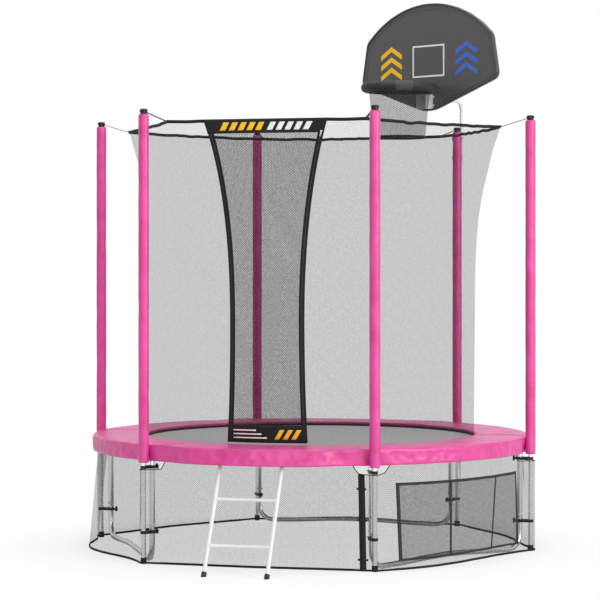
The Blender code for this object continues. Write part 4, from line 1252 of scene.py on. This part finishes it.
HOOP_OUT = Vector((math.cos(HOOP_TURN), math.sin(HOOP_TURN), 0))
HOOP_ALONG = Vector((-math.sin(HOOP_TURN), math.cos(HOOP_TURN), 0))
RIM_SIDES = 24
RIM_STEPS = 120
FOAM_LUMPS = 0.0009
TAPE_ENDS = (math.radians(217), math.radians(243))
TAPE_STEPS = 23
RIM_SEAM_TURN = math.radians(150)
RIM_SEAM_STEPS = 160
HOOP_NET_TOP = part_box("hoop_net")[1].z
HOOP_NET_TURNS = turns(90)
HOOP_NET_LEVELS = 16
HOOP_HEM_LEVELS = (1.0, 0.95)
BOARD_PRINT_LIFT = 0.0006
BOARD_PRINT_THICKNESS = 0.0008
TARGET_SIDES = (-0.127, 0.127)
TARGET_HEIGHTS = (2.707, 2.898)
TARGET_WIDTH = 0.010
CHEVRON_HEIGHTS = (2.700, 2.762, 2.824)
CHEVRON_HALF = 0.085
CHEVRON_RISE = 0.051
CHEVRON_WIDTH = 0.030
BAND_REACH = 0.034
BAND_HALF = 0.0115
BOLT_RADIUS = 0.0045


def hoop_place(distance, across, height):
    """A point in the hoop's own directions: out from the axis, along the board, up."""
    return AXIS + HOOP_OUT * distance + HOOP_ALONG * across + UP * height


def about_rim(reach, turn, height):
    """A point round the rim's own upright axis."""
    return hoop_place(RIM_DISTANCE + reach * math.cos(turn), reach * math.sin(turn), height)


def rim_place(turn, around, radius):
    reach = RIM_RADIUS + radius * math.cos(around)
    return about_rim(reach, turn, RIM_HEIGHT + radius * math.sin(around))


def rim_sleeve(name, along, size, **closed):
    """A lumpy round cover on the rim, at the turns along it."""
    rows = []
    for turn in along:
        row = []
        for around in turns(RIM_SIDES):
            row.append(rim_place(turn, around, size + ring_noise(turn, 4, around) * FOAM_LUMPS))
        rows.append(row)
    return grid(name, rows, close_columns=True, **closed)


def build_rim():
    """Foam-covered rim with the taped join of its cover and the seam along it."""
    foam = rim_sleeve("rim_cover", turns(RIM_STEPS), FOAM_RADIUS - 0.0014, close_rows=True)
    dress(foam, RIM_FOAM, "frame", ("rim",))
    tape = rim_sleeve("rim_tape", spread(*TAPE_ENDS, TAPE_STEPS), FOAM_RADIUS - 0.0007)
    dress(tape, RIM_TAPE)
    along = turns(RIM_SEAM_STEPS)
    seam = [rim_place(turn, RIM_SEAM_TURN, FOAM_RADIUS - 0.0012) for turn in along]
    dress(tube("rim_seam", seam, SEAM_RADIUS, 6, closed=True), RIM_TAPE)


def hoop_net_row(level, lift=0.0):
    """One round of the hoop's net, level 0 at the rim."""
    height = mix(HOOP_NET_TOP, HOOP_NET_BOTTOM, level)
    reach = mix(HOOP_NET_TOP_RADIUS, HOOP_NET_BOTTOM_RADIUS, level**0.8) + lift
    row = []
    for turn in HOOP_NET_TURNS:
        fold = 0.003 * math.sin(turn * 9 + level * 2) * math.sin(math.pi * level)
        row.append(about_rim(reach + fold, turn, height))
    return row


def build_hoop_net():
    rows = [hoop_net_row(level) for level in spread(1, 0, HOOP_NET_LEVELS)]
    net = grid("hoop_netting", rows, close_columns=True)
    dress(net, HOOP_NETTING, "frame", ("hoop_net",))
    rows = [hoop_net_row(level, EDGE_LIFT) for level in HOOP_HEM_LEVELS]
    hem = band("hoop_net_hem", rows, WEBBING_THICKNESS, close_columns=True)
    return net, dress(hem, WEBBING)


def corners_cut(loop):
    """Takes the corners off a closed loop, so that its facets don't show."""
    points = []
    for first, second in zip(loop, loop[1:] + loop[:1]):
        points += [first.lerp(second, 0.25), first.lerp(second, 0.75)]
    return points


def board_loop():
    """The front edge of the board, in order round it."""
    work = bmesh.new()
    work.from_mesh(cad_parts["backboard"].data)
    bmesh.ops.remove_doubles(work, verts=work.verts, dist=1e-5)
    front = {face for face in work.faces if face.normal.dot(HOOP_OUT) < -0.99}
    rim = [edge for edge in work.edges if sum(face in front for face in edge.link_faces) == 1]
    near = {}
    for edge in rim:
        for vert in edge.verts:
            near.setdefault(vert, []).append(edge.other_vert(vert))
    loop = [rim[0].verts[0]]
    while len(loop) < len(near):
        loop.append(next(vert for vert in near[loop[-1]] if vert not in loop))
    points = [vert.co.copy() for vert in loop]
    work.free()
    return corners_cut(corners_cut(points))


def board_print(name, outlines, look):
    """Flat shapes on the board's face, each a list of (across, height) corners."""
    shapes = []
    for outline in outlines:
        mesh = bpy.data.meshes.new("shape")
        face = BOARD_DISTANCE - BOARD_PRINT_LIFT
        points = [hoop_place(face, across, height) for across, height in outline]
        mesh.from_pydata(points, [], [tuple(range(len(points)))])
        shapes.append(thicken(new_piece("shape", mesh), BOARD_PRINT_THICKNESS))
    obj = joined(name, shapes)
    obj.data.shade_flat()
    return dress(obj, look)


def bar(left, right, low, high):
    return [(left, low), (right, low), (right, high), (left, high)]


def target_bars():
    """Four bars that make the target's outline."""
    left, right = TARGET_SIDES
    low, high = TARGET_HEIGHTS
    width = TARGET_WIDTH
    return [
        bar(left, right, low, low + width),
        bar(left, right, high - width, high),
        bar(left, left + width, low + width, high - width),
        bar(right - width, right, low + width, high - width),
    ]


def chevron(across, height):
    """An upright arrow-shaped stripe."""
    line = [(-CHEVRON_HALF, 0), (0, CHEVRON_RISE), (CHEVRON_HALF, 0)]
    below = [(across + aside, height + rise) for aside, rise in line]
    return below + [(aside, rise + CHEVRON_WIDTH) for aside, rise in below[::-1]]


def build_board():
    refined("backboard", BOARD_PLASTIC, bevel=0.002)
    loop = board_loop()
    centre = sum(loop, Vector()) / len(loop)
    for name, inset, radius, look in (
        ("board_rim", 0.004, 0.0065, BOARD_EDGE),
        ("board_bead", 0.030, 0.0022, BOARD_PLASTIC),
    ):
        path = [point + (centre - point).normalized() * inset for point in loop]
        dress(tube(name, path, radius, 10, closed=True), look)
    board_print("board_target", target_bars(), PRINT_WHITE)
    for word, across, look in (("yellow", 0.300, PRINT_YELLOW), ("blue", -0.300, PRINT_BLUE)):
        stripe = [chevron(across, height) for height in CHEVRON_HEIGHTS]
        board_print(f"board_stripes_{word}", stripe, look)


def bind_arm(arm):
    """The arm's two bands round the pole are covered in the sleeve's vinyl."""
    arm.data.materials.append(SLEEVE_VINYL)
    pole = hoop_place(POLE_CIRCLE, 0, 0)
    for face in arm.data.polygons:
        away = (face.center - pole).xy.length
        level = min(abs(face.center.z - height) for height in ARM_BAND_HEIGHTS)
        if away < BAND_REACH and level < BAND_HALF:
            face.material_index = 1


def build_fasteners():
    """Bolts of the rim's bracket, the arm's plate and the arm's bands."""
    heads = []
    for distance, sides, heights, axis in (
        (BOARD_DISTANCE - 0.0032, (-0.0442, 0.0442), (2.535, 2.585), -HOOP_OUT),
        (BOARD_DISTANCE + 0.0104, (-0.045, 0.045), (2.565, 2.635), HOOP_OUT),
        (POLE_CIRCLE, (0.0315,), ARM_BAND_HEIGHTS, HOOP_ALONG),
    ):
        for across in sides:
            for height in heights:
                heads.append(bolt(hoop_place(distance, across, height), axis, BOLT_RADIUS))
    dress(joined("hoop_bolts", heads), BRIGHT_STEEL)


build_rim()
hoop_netting, hoop_hem = build_hoop_net()
build_board()
refined("rim_bracket", ZINC_PLATE)
bind_arm(refined("hoop_arm", WHITE_PAINT))
build_fasteners()


# Steel, clamps, caps and ladder

LEG_COLLAR_HEIGHT = 0.203
COLLAR_PROFILE = (
    (0.0152, -0.006),
    (0.0172, -0.004),
    (0.0178, 0.0),
    (0.0172, 0.004),
    (0.0152, 0.006),
)
RUNG_HEIGHTS = (0.150, 0.376)
RUNG_HALF = 0.156
RAIL_TOP_REACH = 1.2163
RAIL_TOP_HEIGHT = 0.546
RAIL_FOOT_REACH = 1.51
WELD_RADIUS = 0.0098
BEAD_RADIUS = 0.0017


def build_collars():
    collars = []
    for index in range(POLE_COUNT):
        spot = polar(FRAME_RADIUS, POLE_TURN * index, LEG_COLLAR_HEIGHT)
        collars.append(turned("collar", COLLAR_PROFILE, spot, UP))
    dress(joined("leg_collars", collars), COLLAR)


def build_welds():
    """Weld beads where the rungs meet the rails."""
    beads = []
    for height in RUNG_HEIGHTS:
        reach = mix(RAIL_FOOT_REACH, RAIL_TOP_REACH, height / RAIL_TOP_HEIGHT)
        for x in (-RUNG_HALF, RUNG_HALF):
            centre = AXIS + Vector((x, -reach, height))
            ring = hoop(centre, Vector((0, 1, 0)), UP, WELD_RADIUS, 20)
            beads.append(tube("bead", ring, BEAD_RADIUS, 8, closed=True))
    dress(joined("ladder_welds", beads), WHITE_PAINT, "ladder")


for index in range(1, POLE_COUNT + 1):
    refined(f"frame_segment_{index}", STEEL)
    refined(f"pole_{index}", STEEL, bevel=0.0)
    refined(f"pole_cap_{index}", BLACK_PLASTIC, bevel=0.0008)
    refined(f"pole_foot_{index}", BLACK_PLASTIC, bevel=0.001)
    refined(f"upper_clamp_{index}", BLACK_PLASTIC)
    refined(f"lower_clamp_{index}", BLACK_PLASTIC)
for index in range(1, 4):
    refined(f"w_leg_{index}", STEEL)
build_collars()
refined("ladder", WHITE_PAINT, "ladder", 0.0008)
refined("ladder_foot_left", BLACK_PLASTIC, "ladder", 0.001)
build_welds()
refined("ladder_foot_right", BLACK_PLASTIC, "ladder", 0.001)


# Light, floor and camera

WHITE = (1, 1, 1, 1)
ROOM_LIGHT = 0.44
FLOOR_HALF = 60
FLOOR_FADE = (1.25, 1.8)
FLOOR_SHARE_SEEN = 0.75


def area_light(name, place, aim, size, power):
    data = bpy.data.lights.new(name, "AREA")
    data.shape = "RECTANGLE"
    data.size, data.size_y = size
    data.energy = power
    lamp = bpy.data.objects.new(name, data)
    lamp.location = place
    lamp.rotation_euler = (Vector(aim) - Vector(place)).to_track_quat("-Z", "Y").to_euler()
    bpy.context.scene.collection.objects.link(lamp)


def ways_of_seeing(made):
    """Whether a ray comes from the camera, and whether off metal or through something clear."""
    path = add(made, "LightPath").outputs
    bounced = computed(made, "MAXIMUM", path["Is Glossy Ray"], path["Is Transmission Ray"])
    return path["Is Camera Ray"], bounced


def blended(made, share, first, second, output):
    """Shows the second shader by the share given, else the first."""
    blend = wire(made, add(made, "MixShader", Fac=share), {1: first, 2: second})
    wire(made, made.node_tree.nodes[output], {"Surface": blend.outputs["Shader"]})


def build_floor():
    """Takes the shadow under the bed and glows white beyond it."""
    mesh = bpy.data.meshes.new("floor")
    corners = bar(-FLOOR_HALF, FLOOR_HALF, -FLOOR_HALF, FLOOR_HALF)
    mesh.from_pydata([(x, y, 0) for x, y in corners], [], [(0, 1, 2, 3)])
    look = material("floor_white", (0.9, 0.9, 0.9, 1), 1.0, Specular_IOR_Level=0.0)
    matt = look.node_tree.nodes["Principled BSDF"].outputs["BSDF"]
    glow = add(look, "Emission", Strength=1.0).outputs["Emission"]
    reach = add(look, "VectorMath")
    reach.operation = "LENGTH"
    wire(look, reach, {0: add(look, "TexCoord").outputs["Object"]})
    shares = []
    for way, least in zip(ways_of_seeing(look), (FLOOR_SHARE_SEEN, 0.0)):
        away = ranged(look, reach.outputs["Value"], least, 1.0, *FLOOR_FADE)
        shares.append(computed(look, "MULTIPLY", away, way))
    blended(look, computed(look, "MAXIMUM", *shares), matt, glow, "Material Output")
    mesh.materials.append(look)
    new_piece("floor", mesh)


def build_world():
    """A dim room that shows as a white backdrop."""
    world = bpy.data.worlds.new("studio")
    world.use_nodes = True
    room = world.node_tree.nodes["Background"]
    wire(world, room, {"Color": WHITE, "Strength": ROOM_LIGHT})
    seen = add(world, "Background", Color=WHITE, Strength=1.0)
    share = computed(world, "MAXIMUM", *ways_of_seeing(world))
    shaders = [node.outputs["Background"] for node in (room, seen)]
    blended(world, share, *shaders, "World Output")
    bpy.context.scene.world = world


def build_camera():
    data = bpy.data.cameras.new("camera")
    data.lens = 142.3
    data.sensor_width = 36
    data.shift_y = -0.0663
    data.clip_end = 200
    camera = bpy.data.objects.new("camera", data)
    camera.location = (3.430, AXIS.y - 13.037, 1.611)
    camera.rotation_euler = (math.radians(90), 0, math.radians(15))
    bpy.context.scene.collection.objects.link(camera)
    bpy.context.scene.camera = camera


build_floor()
build_world()
area_light("key", (9.7, -4.2, 4.5), (0, 0, 1.2), (5.0, 6.0), 620)
area_light("front", (2.0, -12.0, 5.0), (0, 0, 1.2), (6.0, 6.0), 320)
area_light("top", (0.0, 0.0, 8.0), (0, 0, 0), (2.5, 2.5), 230)
build_camera()
bpy.context.scene.view_settings.view_transform = "Standard"
